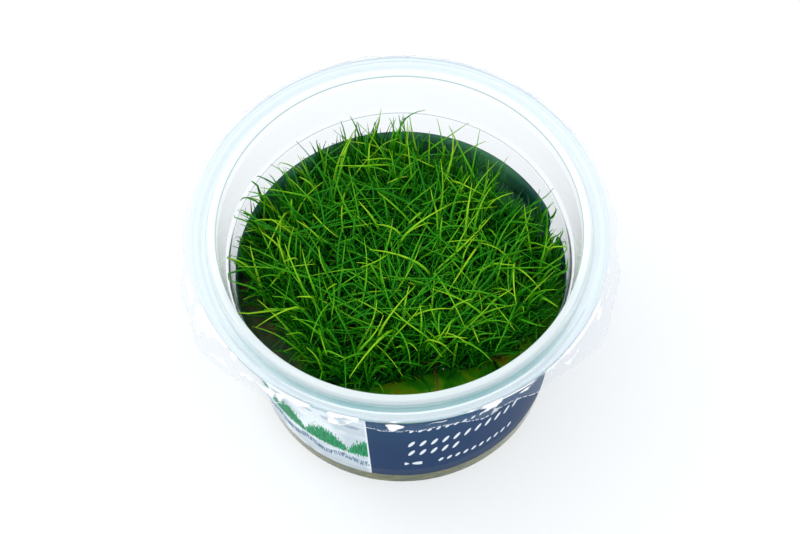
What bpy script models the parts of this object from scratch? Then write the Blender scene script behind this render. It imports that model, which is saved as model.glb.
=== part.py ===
"""Dwarf hairgrass growing in its clear culture tub.

Five pieces: the tub, the wrap label, the seal film's skirt, the growing gel
and the mat of hairgrass. The origin is the middle of the tub's flat bottom.
"""

import math
import random

import bmesh
import bpy
from mathutils import Vector, noise

MM = 0.001
GAP = 0.3 * MM
MERGE = 0.00001

# The tub: a tapering wall, a stacking ledge, and a lip with a groove and a collar.
TUB_HEIGHT = 67.2 * MM
TUB_SIDES = 56
WALL = 0.8 * MM
FLOOR = 1.0 * MM
BASE_RADIUS = 39.0 * MM
WALL_SLOPE = 0.0827
LEDGE_HEIGHT = 53.4 * MM
LEDGE_STEP = 1.1 * MM
LIP_INNER_RADIUS = 45.6 * MM
LIP_OUTER_RADIUS = 47.5 * MM
GROOVE_DEPTH = 2.2 * MM
GROOVE_WIDTH = 1.4 * MM
COLLAR_RADIUS = 51.8 * MM
COLLAR_DROP = 0.8 * MM
COLLAR_SKIRT = 1.8 * MM

# The label: its ends stand on either side of a narrow gap at the right.
LABEL_BOTTOM = 6.1 * MM
LABEL_TOP = 44.8 * MM
LABEL_THICKNESS = 0.3 * MM
LABEL_CORNER = 4.0 * MM
LABEL_START = math.radians(20.5)
LABEL_END = math.radians(374.5)
LABEL_COLUMNS = 52
LABEL_CORNER_COLUMNS = 4
LABEL_ROWS = 3

# The film's skirt: bonded to the collar's top, it hangs in pleats and flares at two sides.
FILM_THICKNESS = 0.2 * MM
FILM_SIDES = 72
FILM_INNER_RADIUS = 49.9 * MM
FILM_EDGE_RADIUS = 53.4 * MM
FILM_EDGE_DROP = 2.6 * MM
FILM_FLARE = 3.2 * MM
FILM_FLARE_DROP = 2.6 * MM
FILM_FLARE_ANGLES = (-31.0, -150.0)
FILM_FLARE_SPREAD = 17.0
FILM_PLEATS = 19
FILM_PLEAT_DEPTH = 0.6 * MM

# The gel: its top slumps a little, higher towards the front right.
GEL_LEVEL = 37.0 * MM
GEL_TILT = math.radians(3.6)
GEL_TILT_TOWARDS = math.radians(-65.0)
GEL_SIDES = 44
GEL_BOTTOM_BEVEL = 1.4 * MM

# The mat: a domed tangle, set back from the wall at the front right.
MAT_RADIUS = 38.2 * MM
MAT_SET_BACK = 6.4 * MM
MAT_SET_BACK_ANGLE = math.radians(-68.0)
MAT_EDGE = 1.8 * MM
MAT_CROWN = 8.6 * MM
MAT_SIDES = 32
MAT_RINGS = 14
MAT_LUMP = 2.2 * MM
MAT_LUMP_SPREAD = 9.0 * MM

# The locks: bundles of blades that arch out of the mat in every direction.
LOCKS = 70
LOCK_SEED = 31
LOCK_POINTS = 5
LOCK_RADIUS = 1.15 * MM
LOCK_TIP = 0.22
LOCK_SHORTEST = 18.0 * MM
LOCK_LONGEST = 28.0 * MM
LOCK_ROOT_DEPTH = 3.0 * MM
LOCK_TOP = 53.6 * MM
LOCK_WALL_CLEARANCE = 1.1 * MM
LOCK_LEAST_OVERHANG = 0.6 * MM
LOCK_OVERHANG = 6.0 * MM
GOLDEN_ANGLE = math.pi * (3.0 - math.sqrt(5.0))

# Long blades that lean on the wall: azimuth and height of the tip, and the root's share of the radius.
STRAYS = (
    (150.0, 53.2, 0.80),
    (123.0, 51.0, 0.84),
    (92.0, 51.5, 0.86),
    (66.0, 48.5, 0.78),
    (38.0, 47.5, 0.80),
    (10.0, 53.6, 0.72),
    (186.0, 47.0, 0.86),
    (222.0, 44.5, 0.84),
)


def new_collection(name, helper=False):
    """Return a new collection in the scene; a helper one is left out of renders."""
    collection = bpy.data.collections.new(name)
    bpy.context.scene.collection.children.link(collection)
    collection.hide_render = helper
    return collection


def plain_material(name, colour, roughness, alpha=1.0):
    """Return a Principled material of one colour."""
    material = bpy.data.materials.new(name)
    material.use_nodes = True
    shader = material.node_tree.nodes["Principled BSDF"]
    shader.inputs["Base Color"].default_value = (*colour, 1.0)
    shader.inputs["Roughness"].default_value = roughness
    shader.inputs["Metallic"].default_value = 0.0
    shader.inputs["Alpha"].default_value = alpha
    return material


def object_from_bmesh(bm, name, collection, material):
    """Turn a bmesh into an object with its material."""
    mesh = bpy.data.meshes.new(name)
    bm.to_mesh(mesh)
    bm.free()
    mesh.materials.append(material)
    obj = bpy.data.objects.new(name, mesh)
    collection.objects.link(obj)
    return obj


def shade(obj, angle=35.0):
    """Shade a round piece smooth, with its sharp edges kept."""
    obj.data.shade_smooth()
    obj.data.set_sharp_from_angle(angle=math.radians(angle))


def outer_wall(z):
    """Radius of the tub's outer wall below the ledge."""
    return BASE_RADIUS + WALL_SLOPE * z


def inner_wall(z):
    """Radius of the tub's inner wall, with the wider part above the ledge."""
    step = LEDGE_STEP if z > LEDGE_HEIGHT + WALL else 0.0
    return outer_wall(z) - WALL + step


def on_circle(radius, angle, z):
    """Return the point at this radius, angle and height."""
    return Vector((radius * math.cos(angle), radius * math.sin(angle), z))


def tub_profile():
    """Return the tub's section from the inside floor, over the rim, to the bottom."""
    top = TUB_HEIGHT
    ledge = LEDGE_HEIGHT
    groove_floor = top - GROOVE_DEPTH
    groove_end = LIP_OUTER_RADIUS + GROOVE_WIDTH
    collar_top = top - COLLAR_DROP
    skirt_end = collar_top - COLLAR_SKIRT
    under_groove = groove_floor - WALL
    return [
        (0.0, FLOOR),
        (inner_wall(FLOOR) - 1.4 * MM, FLOOR),
        (inner_wall(FLOOR), FLOOR + 1.5 * MM),
        (inner_wall(ledge), ledge),
        (inner_wall(ledge) + LEDGE_STEP, ledge + 0.7 * MM),
        (LIP_INNER_RADIUS - 0.1 * MM, top - 0.8 * MM),
        (LIP_INNER_RADIUS + 0.4 * MM, top - 0.15 * MM),
        (LIP_INNER_RADIUS + 1.0 * MM, top),
        (LIP_OUTER_RADIUS - 0.3 * MM, top - 0.3 * MM),
        (LIP_OUTER_RADIUS, top - 0.9 * MM),
        (LIP_OUTER_RADIUS + 0.4 * MM, groove_floor),
        (groove_end, groove_floor - 0.1 * MM),
        (groove_end + 0.6 * MM, collar_top - 0.4 * MM),
        (groove_end + 1.4 * MM, collar_top),
        (COLLAR_RADIUS - 0.6 * MM, collar_top - 0.1 * MM),
        (COLLAR_RADIUS, collar_top - 0.7 * MM),
        (COLLAR_RADIUS, skirt_end),
        (COLLAR_RADIUS - WALL, skirt_end),
        (COLLAR_RADIUS - WALL - 0.1 * MM, collar_top - 1.0 * MM),
        (groove_end + 1.0 * MM, collar_top - 1.2 * MM),
        (groove_end + 0.4 * MM, under_groove),
        (LIP_OUTER_RADIUS - 0.3 * MM, under_groove - 0.1 * MM),
        (LIP_INNER_RADIUS + 0.6 * MM, under_groove - 0.9 * MM),
        (outer_wall(ledge) + LEDGE_STEP, ledge - 0.1 * MM),
        (outer_wall(ledge - 1.2 * MM), ledge - 1.2 * MM),
        (outer_wall(1.6 * MM), 1.6 * MM),
        (BASE_RADIUS - 0.4 * MM, 0.5 * MM),
        (BASE_RADIUS - 1.3 * MM, 0.0),
        (0.0, 0.0),
    ]


def make_tub(collection):
    """Turn the tub's section round its axis."""
    bm = bmesh.new()
    points = [bm.verts.new((radius, 0.0, z)) for radius, z in tub_profile()]
    for first, second in zip(points, points[1:]):
        bm.edges.new((first, second))
    clear_plastic = plain_material("clear_plastic", (0.86, 0.94, 0.93), 0.08, alpha=0.35)
    tub = object_from_bmesh(bm, "tub", collection, clear_plastic)
    screw = tub.modifiers.new("turn", "SCREW")
    screw.steps = TUB_SIDES
    screw.render_steps = TUB_SIDES
    screw.use_merge_vertices = True
    screw.merge_threshold = MERGE
    screw.use_smooth_shade = True
    return tub


def label_columns():
    """Return the label's column positions along its length, from 0 to 1, closer at its ends."""
    length = (LABEL_END - LABEL_START) * outer_wall(LABEL_TOP)
    corner = LABEL_CORNER / length
    ends = [corner * step / LABEL_CORNER_COLUMNS for step in range(LABEL_CORNER_COLUMNS)]
    middle = LABEL_COLUMNS - 2 * LABEL_CORNER_COLUMNS
    span = 1.0 - 2.0 * corner
    between = [corner + span * step / middle for step in range(middle + 1)]
    return ends + between + [1.0 - end for end in reversed(ends)]


def make_label(collection):
    """Bend a flat grid with round corners round the wall and give it its thickness."""
    columns = label_columns()
    length = (LABEL_END - LABEL_START) * outer_wall(LABEL_TOP)
    middle = (LABEL_BOTTOM + LABEL_TOP) / 2
    bm = bmesh.new()
    bmesh.ops.create_grid(bm, x_segments=LABEL_COLUMNS, y_segments=LABEL_ROWS, size=0.5)
    for vert in bm.verts:
        share = columns[round((vert.co.x + 0.5) * LABEL_COLUMNS)]
        from_end = min(share, 1.0 - share) * length
        inset = max(0.0, LABEL_CORNER - from_end)
        cut = LABEL_CORNER - math.sqrt(LABEL_CORNER**2 - inset**2)
        half = (LABEL_TOP - LABEL_BOTTOM) / 2 - cut
        z = middle + 2.0 * vert.co.y * half
        angle = LABEL_START + (LABEL_END - LABEL_START) * share
        vert.co = on_circle(outer_wall(z) + GAP, angle, z)
    bmesh.ops.recalc_face_normals(bm, faces=bm.faces)
    face = bm.faces[0]
    centre = face.calc_center_median()
    if face.normal.dot(Vector((centre.x, centre.y, 0.0))) < 0.0:
        bmesh.ops.reverse_faces(bm, faces=bm.faces)
    navy_paper = plain_material("printed_label", (0.05, 0.10, 0.19), 0.35)
    label = object_from_bmesh(bm, "wrap_label", collection, navy_paper)
    solidify = label.modifiers.new("thickness", "SOLIDIFY")
    solidify.thickness = LABEL_THICKNESS
    solidify.offset = 1.0
    shade(label)
    return label


def film_flare(angle):
    """Return how strongly the film flares at this angle, from 0 to 1."""
    strength = 0.0
    for centre in FILM_FLARE_ANGLES:
        turn = (math.degrees(angle) - centre + 180.0) % 360.0 - 180.0
        strength = max(strength, math.exp(-((turn / FILM_FLARE_SPREAD) ** 2)))
    return strength


def film_pleat(angle):
    """Return the pleats' wave at this angle, about -1 to 1."""
    return 0.65 * math.sin(FILM_PLEATS * angle) + 0.35 * math.sin((FILM_PLEATS + 7) * angle + 1.3)


def make_film(collection):
    """Spin the film's section round the collar, then flare and pleat its free edge."""
    top = TUB_HEIGHT - COLLAR_DROP + GAP
    edge_clear = COLLAR_RADIUS + GAP + FILM_THICKNESS
    section = [
        (FILM_INNER_RADIUS, top, 0.0),
        (COLLAR_RADIUS - 0.5 * MM, top + 0.05 * MM, 0.0),
        (edge_clear, top - 0.6 * MM, 0.15),
        (edge_clear + 0.4 * (FILM_EDGE_RADIUS - edge_clear), top - 0.55 * FILM_EDGE_DROP, 0.55),
        (FILM_EDGE_RADIUS, top - FILM_EDGE_DROP, 1.0),
    ]
    bm = bmesh.new()
    points = [bm.verts.new((radius, 0.0, z)) for radius, z, _ in section]
    chain = [bm.edges.new(pair) for pair in zip(points, points[1:])]
    bmesh.ops.spin(
        bm,
        geom=points + chain,
        axis=(0.0, 0.0, 1.0),
        cent=(0.0, 0.0, 0.0),
        angle=2.0 * math.pi,
        steps=FILM_SIDES,
        use_merge=True,
    )
    for vert in bm.verts:
        radius = math.hypot(vert.co.x, vert.co.y)
        angle = math.atan2(vert.co.y, vert.co.x)
        freedom = min(section, key=lambda row: abs(row[0] - radius) + abs(row[1] - vert.co.z))[2]
        flare = film_flare(angle)
        pleat = film_pleat(angle) * FILM_PLEAT_DEPTH
        outward = freedom**1.3 * (FILM_FLARE * flare + pleat)
        down = freedom**1.3 * FILM_FLARE_DROP * flare
        vert.co = on_circle(radius + outward, angle, vert.co.z - down)
    bmesh.ops.recalc_face_normals(bm, faces=bm.faces)
    if min(bm.faces, key=lambda f: f.calc_center_median().z).normal.z > 0.2:
        bmesh.ops.reverse_faces(bm, faces=bm.faces)
    clear_film = plain_material("clear_film", (0.93, 0.96, 0.98), 0.12, alpha=0.35)
    film = object_from_bmesh(bm, "seal_film", collection, clear_film)
    solidify = film.modifiers.new("thickness", "SOLIDIFY")
    solidify.thickness = FILM_THICKNESS
    solidify.offset = 0.0
    shade(film)
    return film


def gel_surface(x, y):
    """Height of the gel's slumped top at a place in plan."""
    towards = x * math.cos(GEL_TILT_TOWARDS) + y * math.sin(GEL_TILT_TOWARDS)
    return GEL_LEVEL + math.tan(GEL_TILT) * towards


def make_gel(collection):
    """Cut a tapering cylinder by the gel's sloping surface."""
    bottom = FLOOR + GAP
    top = GEL_LEVEL + 6.0 * MM
    depth = top - bottom
    bm = bmesh.new()
    bmesh.ops.create_cone(
        bm,
        cap_ends=True,
        segments=GEL_SIDES,
        radius1=inner_wall(bottom) - GAP,
        radius2=inner_wall(top) - GAP,
        depth=depth,
    )
    bmesh.ops.translate(bm, verts=bm.verts, vec=(0.0, 0.0, bottom + depth / 2))
    lowest = [edge for edge in bm.edges if all(v.co.z < bottom + MERGE for v in edge.verts)]
    bmesh.ops.bevel(
        bm,
        geom=lowest,
        offset=GEL_BOTTOM_BEVEL,
        offset_type="OFFSET",
        segments=1,
        profile=0.5,
        affect="EDGES",
        material=-1,
    )
    slope = math.tan(GEL_TILT)
    normal = Vector(
        (-slope * math.cos(GEL_TILT_TOWARDS), -slope * math.sin(GEL_TILT_TOWARDS), 1.0)
    )
    cut = bmesh.ops.bisect_plane(
        bm,
        geom=bm.verts[:] + bm.edges[:] + bm.faces[:],
        plane_co=(0.0, 0.0, GEL_LEVEL),
        plane_no=normal.normalized(),
        clear_outer=True,
    )
    rim = [item for item in cut["geom_cut"] if isinstance(item, bmesh.types.BMEdge)]
    bmesh.ops.edgeloop_fill(bm, edges=rim)
    bmesh.ops.recalc_face_normals(bm, faces=bm.faces)
    olive_gel = plain_material("olive_gel", (0.30, 0.32, 0.12), 0.15)
    gel = object_from_bmesh(bm, "growing_gel", collection, olive_gel)
    shade(gel)
    return gel


def set_back(angle):
    """Return how far the mat is set back from the wall at this angle, from 0 to 1."""
    return (0.5 + 0.5 * math.cos(angle - MAT_SET_BACK_ANGLE)) ** 3


def mat_reach(angle):
    """Radius of the mat's foot at this angle, smaller towards the front right."""
    return MAT_RADIUS - MAT_SET_BACK * set_back(angle)


def mat_lump(x, y):
    """Return the rise and fall of the mat's tangle at a place in plan."""
    place = Vector((x / MAT_LUMP_SPREAD, y / MAT_LUMP_SPREAD, 4.7))
    return MAT_LUMP * noise.noise(place)


def mat_top(x, y):
    """Height of the mat's dense top at a place in plan."""
    share = min(1.0, math.hypot(x, y) / mat_reach(math.atan2(y, x)))
    crown = MAT_CROWN * (1.0 - share**3)
    return gel_surface(x, y) + GAP + MAT_EDGE + crown + mat_lump(x, y) * (1.0 - share)


def make_mound():
    """Shape a sphere into the mat's mound: domed above, flat on the gel below."""
    bm = bmesh.new()
    bmesh.ops.create_uvsphere(bm, u_segments=MAT_SIDES, v_segments=MAT_RINGS, radius=1.0)
    for vert in bm.verts:
        angle = math.atan2(vert.co.y, vert.co.x)
        share = min(1.0, math.hypot(vert.co.x, vert.co.y))
        radius = mat_reach(angle) * share
        x = radius * math.cos(angle)
        y = radius * math.sin(angle)
        foot = gel_surface(x, y) + GAP
        if vert.co.z > 0.01:
            z = mat_top(x, y)
        elif vert.co.z < -0.01:
            z = foot
        else:
            z = foot + MAT_EDGE / 2
        vert.co = (x, y, z)
    return bm


def arched(root, heading, start_lean, end_lean, length, points=LOCK_POINTS):
    """Return the points of a blade that leans ever further over towards its tip."""
    step = length / (points - 1)
    place = Vector(root)
    path = [place.copy()]
    for index in range(points - 1):
        lean = start_lean + (end_lean - start_lean) * (index + 0.5) / (points - 1)
        across = math.sin(lean) * step
        rise = math.cos(lean) * step
        place = place + Vector((across * math.cos(heading), across * math.sin(heading), rise))
        path.append(place.copy())
    return path


def kept_inside(point):
    """Pull a point back inside the tub's wall, below the free space and over the mat."""
    z = min(point.z, LOCK_TOP)
    radius = math.hypot(point.x, point.y)
    angle = math.atan2(point.y, point.x)
    overhang = LOCK_LEAST_OVERHANG + LOCK_OVERHANG * (1.0 - set_back(angle))
    wall = inner_wall(min(z, LEDGE_HEIGHT)) - LOCK_WALL_CLEARANCE
    limit = min(wall, mat_reach(angle) + overhang)
    shrink = min(1.0, limit / radius) if radius > 0.0 else 1.0
    return Vector((point.x * shrink, point.y * shrink, z))


def lock_paths():
    """Return the path of every lock, spread over the mat like seeds on a flower head."""
    draw = random.Random(LOCK_SEED)
    paths = []
    for index in range(LOCKS):
        share = 0.93 * math.sqrt((index + 0.5) / LOCKS)
        angle = index * GOLDEN_ANGLE
        radius = share * mat_reach(angle)
        x = radius * math.cos(angle)
        y = radius * math.sin(angle)
        root = (x, y, mat_top(x, y) - LOCK_ROOT_DEPTH)
        heading = angle + draw.gauss(0.0, 1.3)
        start_lean = math.radians(draw.uniform(8.0, 34.0))
        end_lean = start_lean + math.radians(draw.uniform(44.0, 72.0))
        length = draw.uniform(LOCK_SHORTEST, LOCK_LONGEST)
        path = arched(root, heading, start_lean, end_lean, length)
        paths.append([kept_inside(point) for point in path])
    return paths


def stray_paths():
    """Return the paths of the long blades that lean against the wall."""
    paths = []
    for azimuth, height, root_share in STRAYS:
        angle = math.radians(azimuth)
        radius = root_share * mat_reach(angle)
        x = radius * math.cos(angle + 0.12)
        y = radius * math.sin(angle + 0.12)
        root = Vector((x, y, mat_top(x, y) - LOCK_ROOT_DEPTH))
        tip = on_circle(inner_wall(min(height * MM, LEDGE_HEIGHT)), angle, height * MM)
        path = []
        for index in range(LOCK_POINTS):
            share = index / (LOCK_POINTS - 1)
            point = root.lerp(tip, share)
            point.z = root.z + (tip.z - root.z) * math.sin(share * math.pi / 2)
            path.append(kept_inside(point))
        paths.append(path)
    return paths


def make_lock(name, path, collection):
    """Sweep a tapering lock along its path and return it as a closed mesh."""
    curve = bpy.data.curves.new(name, "CURVE")
    curve.dimensions = "3D"
    curve.bevel_depth = LOCK_RADIUS
    curve.bevel_resolution = 0
    curve.use_fill_caps = True
    spline = curve.splines.new("POLY")
    spline.points.add(len(path) - 1)
    for index, (point, place) in enumerate(zip(spline.points, path)):
        share = index / (len(path) - 1)
        point.co = (*place, 1.0)
        point.radius = 1.0 - (1.0 - LOCK_TIP) * share**1.5
    guide = bpy.data.objects.new(name + "_guide", curve)
    collection.objects.link(guide)
    graph = bpy.context.evaluated_depsgraph_get()
    mesh = bpy.data.meshes.new_from_object(guide.evaluated_get(graph))
    bm = bmesh.new()
    bm.from_mesh(mesh)
    bmesh.ops.remove_doubles(bm, verts=bm.verts, dist=MERGE)
    bmesh.ops.recalc_face_normals(bm, faces=bm.faces)
    bm.to_mesh(mesh)
    bm.free()
    lock = bpy.data.objects.new(name, mesh)
    lock.matrix_world = guide.matrix_world
    bpy.data.objects.remove(guide)
    lock.display_type = "WIRE"
    lock.hide_render = True
    collection.objects.link(lock)
    return lock


def make_hairgrass(collection, locks):
    """Join every lock to the mat's mound."""
    blade_green = plain_material("blade_green", (0.10, 0.26, 0.03), 0.45)
    grass = object_from_bmesh(make_mound(), "hairgrass", collection, blade_green)
    for index, path in enumerate(lock_paths() + stray_paths()):
        make_lock(f"lock_{index:02d}", path, locks)
    union = grass.modifiers.new("locks", "BOOLEAN")
    union.operation = "UNION"
    union.operand_type = "COLLECTION"
    union.collection = locks
    return grass


def main():
    """Build the whole object."""
    for obj in list(bpy.data.objects):
        bpy.data.objects.remove(obj)
    parts = new_collection("dwarf_hairgrass")
    locks = new_collection("hairgrass_locks", helper=True)
    make_tub(parts)
    make_label(parts)
    make_film(parts)
    make_gel(parts)
    make_hairgrass(parts, locks)


main()
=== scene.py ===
"""Looks of a clear culture tub of dwarf hairgrass: tub, label, film, gel, blades and studio."""

import logging
import math
from dataclasses import dataclass, replace
from enum import Enum, IntEnum
from typing import Callable, Sequence

import bmesh
import bpy
import numpy as np
from mathutils import Matrix, Vector, noise


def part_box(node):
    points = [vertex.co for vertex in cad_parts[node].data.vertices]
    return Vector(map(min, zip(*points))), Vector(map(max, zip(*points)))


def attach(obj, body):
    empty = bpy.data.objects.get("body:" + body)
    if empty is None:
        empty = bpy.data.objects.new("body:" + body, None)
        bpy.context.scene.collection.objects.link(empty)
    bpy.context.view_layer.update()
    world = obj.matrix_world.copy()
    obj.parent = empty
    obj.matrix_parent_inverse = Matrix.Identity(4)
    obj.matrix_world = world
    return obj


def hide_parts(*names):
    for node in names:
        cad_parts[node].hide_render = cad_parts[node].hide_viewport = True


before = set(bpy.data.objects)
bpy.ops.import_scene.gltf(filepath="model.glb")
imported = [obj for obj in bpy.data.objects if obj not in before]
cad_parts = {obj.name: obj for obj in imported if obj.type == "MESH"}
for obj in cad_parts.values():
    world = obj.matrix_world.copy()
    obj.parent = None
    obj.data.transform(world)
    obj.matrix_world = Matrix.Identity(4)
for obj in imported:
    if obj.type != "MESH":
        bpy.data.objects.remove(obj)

logging.basicConfig(level=logging.INFO, format="%(message)s")
log = logging.getLogger("hairgrass")

MM = 0.001
BODY = "root"
FULL_TURN = 2.0 * math.pi
MERGE = 0.01 * MM
MOST_ROUNDED = 0.42
TINY = 1e-12

Colour = tuple[float, float, float, float]
Stops = tuple[tuple[float, Colour], ...]
Bumps = tuple[tuple[float, float, float], ...]


class Slot(Enum):
    """The record's material slots."""

    CLEAR_PLASTIC = "clear_plastic"
    PRINTED_LABEL = "printed_label"
    CLEAR_FILM = "clear_film"
    OLIVE_GEL = "olive_gel"
    BLADE_GREEN = "blade_green"


class TubZone(IntEnum):
    """The zones of the tub that have a finish of their own, in the order of its materials."""

    WALL = 0
    LIP = 1
    THIN_EDGE = 2
    OUTER_RIM = 3


def on_circle(radius: float, angle: float, z: float) -> Vector:
    """Return the point at this radius, angle and height."""
    return Vector((radius * math.cos(angle), radius * math.sin(angle), z))


def linear(red: int, green: int, blue: int) -> Colour:
    """Turn a colour as a screen shows it into the shader's linear values.

    Args:
        red, green, blue: The colour's parts, from 0 to 255.

    Returns:
        The colour with an alpha of 1.
    """
    shares = (part / 255.0 for part in (red, green, blue))
    parts = (s / 12.92 if s <= 0.04045 else ((s + 0.055) / 1.055) ** 2.4 for s in shares)
    return (*parts, 1.0)


def bump(degrees: float | np.ndarray, centre: float, spread: float) -> float | np.ndarray:
    """Return a soft bump, from 0 to 1, round the tub.

    Args:
        degrees: The angle, or an array of angles.
        centre: The angle of the bump's top.
        spread: How far off it has fallen to about a third.

    Returns:
        The bump's height at each angle.
    """
    apart = (degrees - centre + 180.0) % 360.0 - 180.0
    return np.exp(-((apart / spread) ** 2))


def keep_piece(obj: bpy.types.Object, slot: Slot, *nodes: str) -> None:
    """Put a finished piece in the scene, on its body and in place of its CAD nodes.

    Args:
        obj: The piece, with its place in its mesh.
        slot: The material slot that it stands for; not used.
        nodes: The CAD nodes that it stands for.
    """
    bpy.context.scene.collection.objects.link(obj)
    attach(obj, BODY)
    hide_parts(*nodes)
    log.info("piece %s: %d faces", obj.name, len(obj.data.polygons))


def object_from_bmesh(
    bm: bmesh.types.BMesh, name: str, *materials: bpy.types.Material
) -> bpy.types.Object:
    """Turn a bmesh into a smooth-shaded object.

    Args:
        bm: The mesh, which is freed.
        name: The object's name.
        materials: Its materials, in the order of the faces' indices.

    Returns:
        The object, not yet in the scene.
    """
    mesh = bpy.data.meshes.new(name)
    bm.to_mesh(mesh)
    bm.free()
    for material in materials:
        mesh.materials.append(material)
    mesh.shade_smooth()
    return bpy.data.objects.new(name, mesh)


def spun(points: Sequence[tuple[float, float]], steps: int) -> bmesh.types.BMesh:
    """Spin a section a full turn round the tub's axis.

    Args:
        points: The section's radii and heights.
        steps: How many steps the turn has.

    Returns:
        The mesh.
    """
    bm = bmesh.new()
    verts = [bm.verts.new((radius, 0.0, z)) for radius, z in points]
    chain = [bm.edges.new(pair) for pair in zip(verts, verts[1:])]
    middle, up = (0.0, 0.0, 0.0), (0.0, 0.0, 1.0)
    bmesh.ops.spin(
        bm, geom=verts + chain, cent=middle, axis=up, angle=FULL_TURN, steps=steps, use_merge=True
    )
    return bm


def add_thickness(obj: bpy.types.Object, thickness: float, offset: float) -> bpy.types.Modifier:
    """Give a sheet its thickness.

    Args:
        obj: The sheet.
        thickness: The thickness.
        offset: Which way it grows, from -1 inwards to 1 outwards.

    Returns:
        The modifier.
    """
    solid = obj.modifiers.new("thickness", "SOLIDIFY")
    solid.thickness = thickness
    solid.offset = offset
    return solid


def feed(target: bpy.types.NodeSocket, value: object) -> None:
    """Link a field to an input, or set the input to a plain value; None leaves it as it is."""
    if isinstance(value, Field):
        target.id_data.links.new(value.socket, target)
    elif value is not None:
        target.default_value = value


def add_node(
    tree: bpy.types.NodeTree, kind: str, inputs: dict[str | int, object], **settings: object
) -> bpy.types.Node:
    """Add a node.

    Args:
        tree: The tree that it goes into.
        kind: Its type.
        inputs: What its inputs take, by their name or place.
        settings: Its properties.

    Returns:
        The node.
    """
    node = tree.nodes.new(kind)
    for name, value in settings.items():
        setattr(node, name, value)
    for key, value in inputs.items():
        feed(node.inputs[key], value)
    return node


class Field:
    """A value or colour that changes over a surface; arithmetic on it adds Math nodes."""

    def __init__(self, socket: bpy.types.NodeSocket) -> None:
        """Keep the socket that gives the value."""
        self.socket = socket

    def node(
        self, kind: str, inputs: dict[str | int, object], **settings: object
    ) -> bpy.types.Node:
        """Add a node beside the one that gives this field."""
        return add_node(self.socket.id_data, kind, inputs, **settings)

    def math(
        self, operation: str, other: "Field | float | None" = None, swap: bool = False
    ) -> "Field":
        """Work on this field with a Math node.

        Args:
            operation: What the node does.
            other: Its other value, where it has one.
            swap: Whether the other value comes first.

        Returns:
            The result.
        """
        values = (other, self) if swap else (self, other)
        inputs = dict(enumerate(values))
        return Field(self.node("ShaderNodeMath", inputs, operation=operation).outputs[0])

    def __add__(self, other: "Field | float") -> "Field":
        """Return the sum."""
        return self.math("ADD", other)

    def __sub__(self, other: "Field | float") -> "Field":
        """Return what is left when the other value is taken off."""
        return self.math("SUBTRACT", other)

    def __rsub__(self, other: float) -> "Field":
        """Return what is left of a number when this field is taken off."""
        return self.math("SUBTRACT", other, swap=True)

    def __mul__(self, other: "Field | float") -> "Field":
        """Return the product."""
        return self.math("MULTIPLY", other)

    def __truediv__(self, other: float) -> "Field":
        """Return the quotient."""
        return self.math("DIVIDE", other)

    def __pow__(self, other: float) -> "Field":
        """Return the power."""
        return self.math("POWER", other)

    def __gt__(self, other: "Field | float") -> "Field":
        """Return 1 where this field is the larger, else 0."""
        return self.math("GREATER_THAN", other)

    def __lt__(self, other: "Field | float") -> "Field":
        """Return 1 where this field is the smaller, else 0."""
        return self.math("LESS_THAN", other)

    def __abs__(self) -> "Field":
        """Return the size without its sign."""
        return self.math("ABSOLUTE")

    def most(self, other: "Field | float") -> "Field":
        """Return the larger of the two values."""
        return self.math("MAXIMUM", other)

    def step(self, low: float, high: float) -> "Field":
        """Return a smooth rise from 0 to 1 as this field goes from low to high."""
        inputs = {"Value": self, "From Min": low, "From Max": high}
        node = self.node("ShaderNodeMapRange", inputs, interpolation_type="SMOOTHSTEP")
        return Field(node.outputs["Result"])

    def mix(self, first: "Field | Colour", second: "Field | Colour") -> "Field":
        """Return a mix of two colours, with this field as the share of the second."""
        inputs = {0: self, 6: first, 7: second}
        return Field(self.node("ShaderNodeMix", inputs, data_type="RGBA").outputs[2])

    def ramp(self, stops: Stops) -> "Field":
        """Turn this field into a colour.

        Args:
            stops: Places from 0 to 1, with their colours.

        Returns:
            The colour.
        """
        node = self.node("ShaderNodeValToRGB", {0: self})
        elements = node.color_ramp.elements
        elements[0].position, elements[0].color = stops[0]
        elements[1].position, elements[1].color = stops[-1]
        for position, colour in stops[1:-1]:
            elements.new(position).color = colour
        return Field(node.outputs[0])


class Nodes:
    """The nodes that a material's fields start from."""

    def __init__(self, tree: bpy.types.NodeTree) -> None:
        """Keep the tree that the nodes go into."""
        self.tree = tree

    def source(
        self,
        kind: str,
        output: str | int = 0,
        inputs: dict[str | int, object] | None = None,
        **settings: object,
    ) -> Field:
        """Add a node and return one of its outputs."""
        return Field(add_node(self.tree, kind, inputs or {}, **settings).outputs[output])

    def here(self) -> Field:
        """Return the piece's own coordinates."""
        return self.source("ShaderNodeTexCoord", "Object")

    def uv(self, name: str) -> Field:
        """Return one of the piece's maps."""
        return self.source("ShaderNodeUVMap", uv_map=name)

    def attribute(self, name: str) -> Field:
        """Return a value that the mesh's points carry."""
        return self.source("ShaderNodeAttribute", "Fac", attribute_name=name)

    def scaled(self, place: Field, x: float, y: float, z: float = 1.0) -> Field:
        """Return coordinates that are scaled along their three parts."""
        return self.source("ShaderNodeMapping", inputs={"Vector": place, "Scale": (x, y, z)})

    def parts(self, place: Field) -> list[Field]:
        """Return the three parts of coordinates."""
        return [Field(part) for part in place.node("ShaderNodeSeparateXYZ", {0: place}).outputs]

    def noise(
        self,
        scale: Field | float,
        detail: float = 2.0,
        place: Field | None = None,
        roughness: float = 0.5,
        distortion: float = 0.0,
    ) -> Field:
        """Add a noise texture.

        Args:
            scale: Its scale.
            detail: How many octaves it has.
            place: The coordinates that it reads; the piece's own by default.
            roughness: How strong the finer octaves are.
            distortion: How far the pattern is bent.

        Returns:
            The noise, from 0 to 1.
        """
        inputs = {
            "Scale": scale,
            "Detail": detail,
            "Roughness": roughness,
            "Distortion": distortion,
            "Vector": place or self.here(),
        }
        return self.source("ShaderNodeTexNoise", "Fac", inputs)


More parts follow.
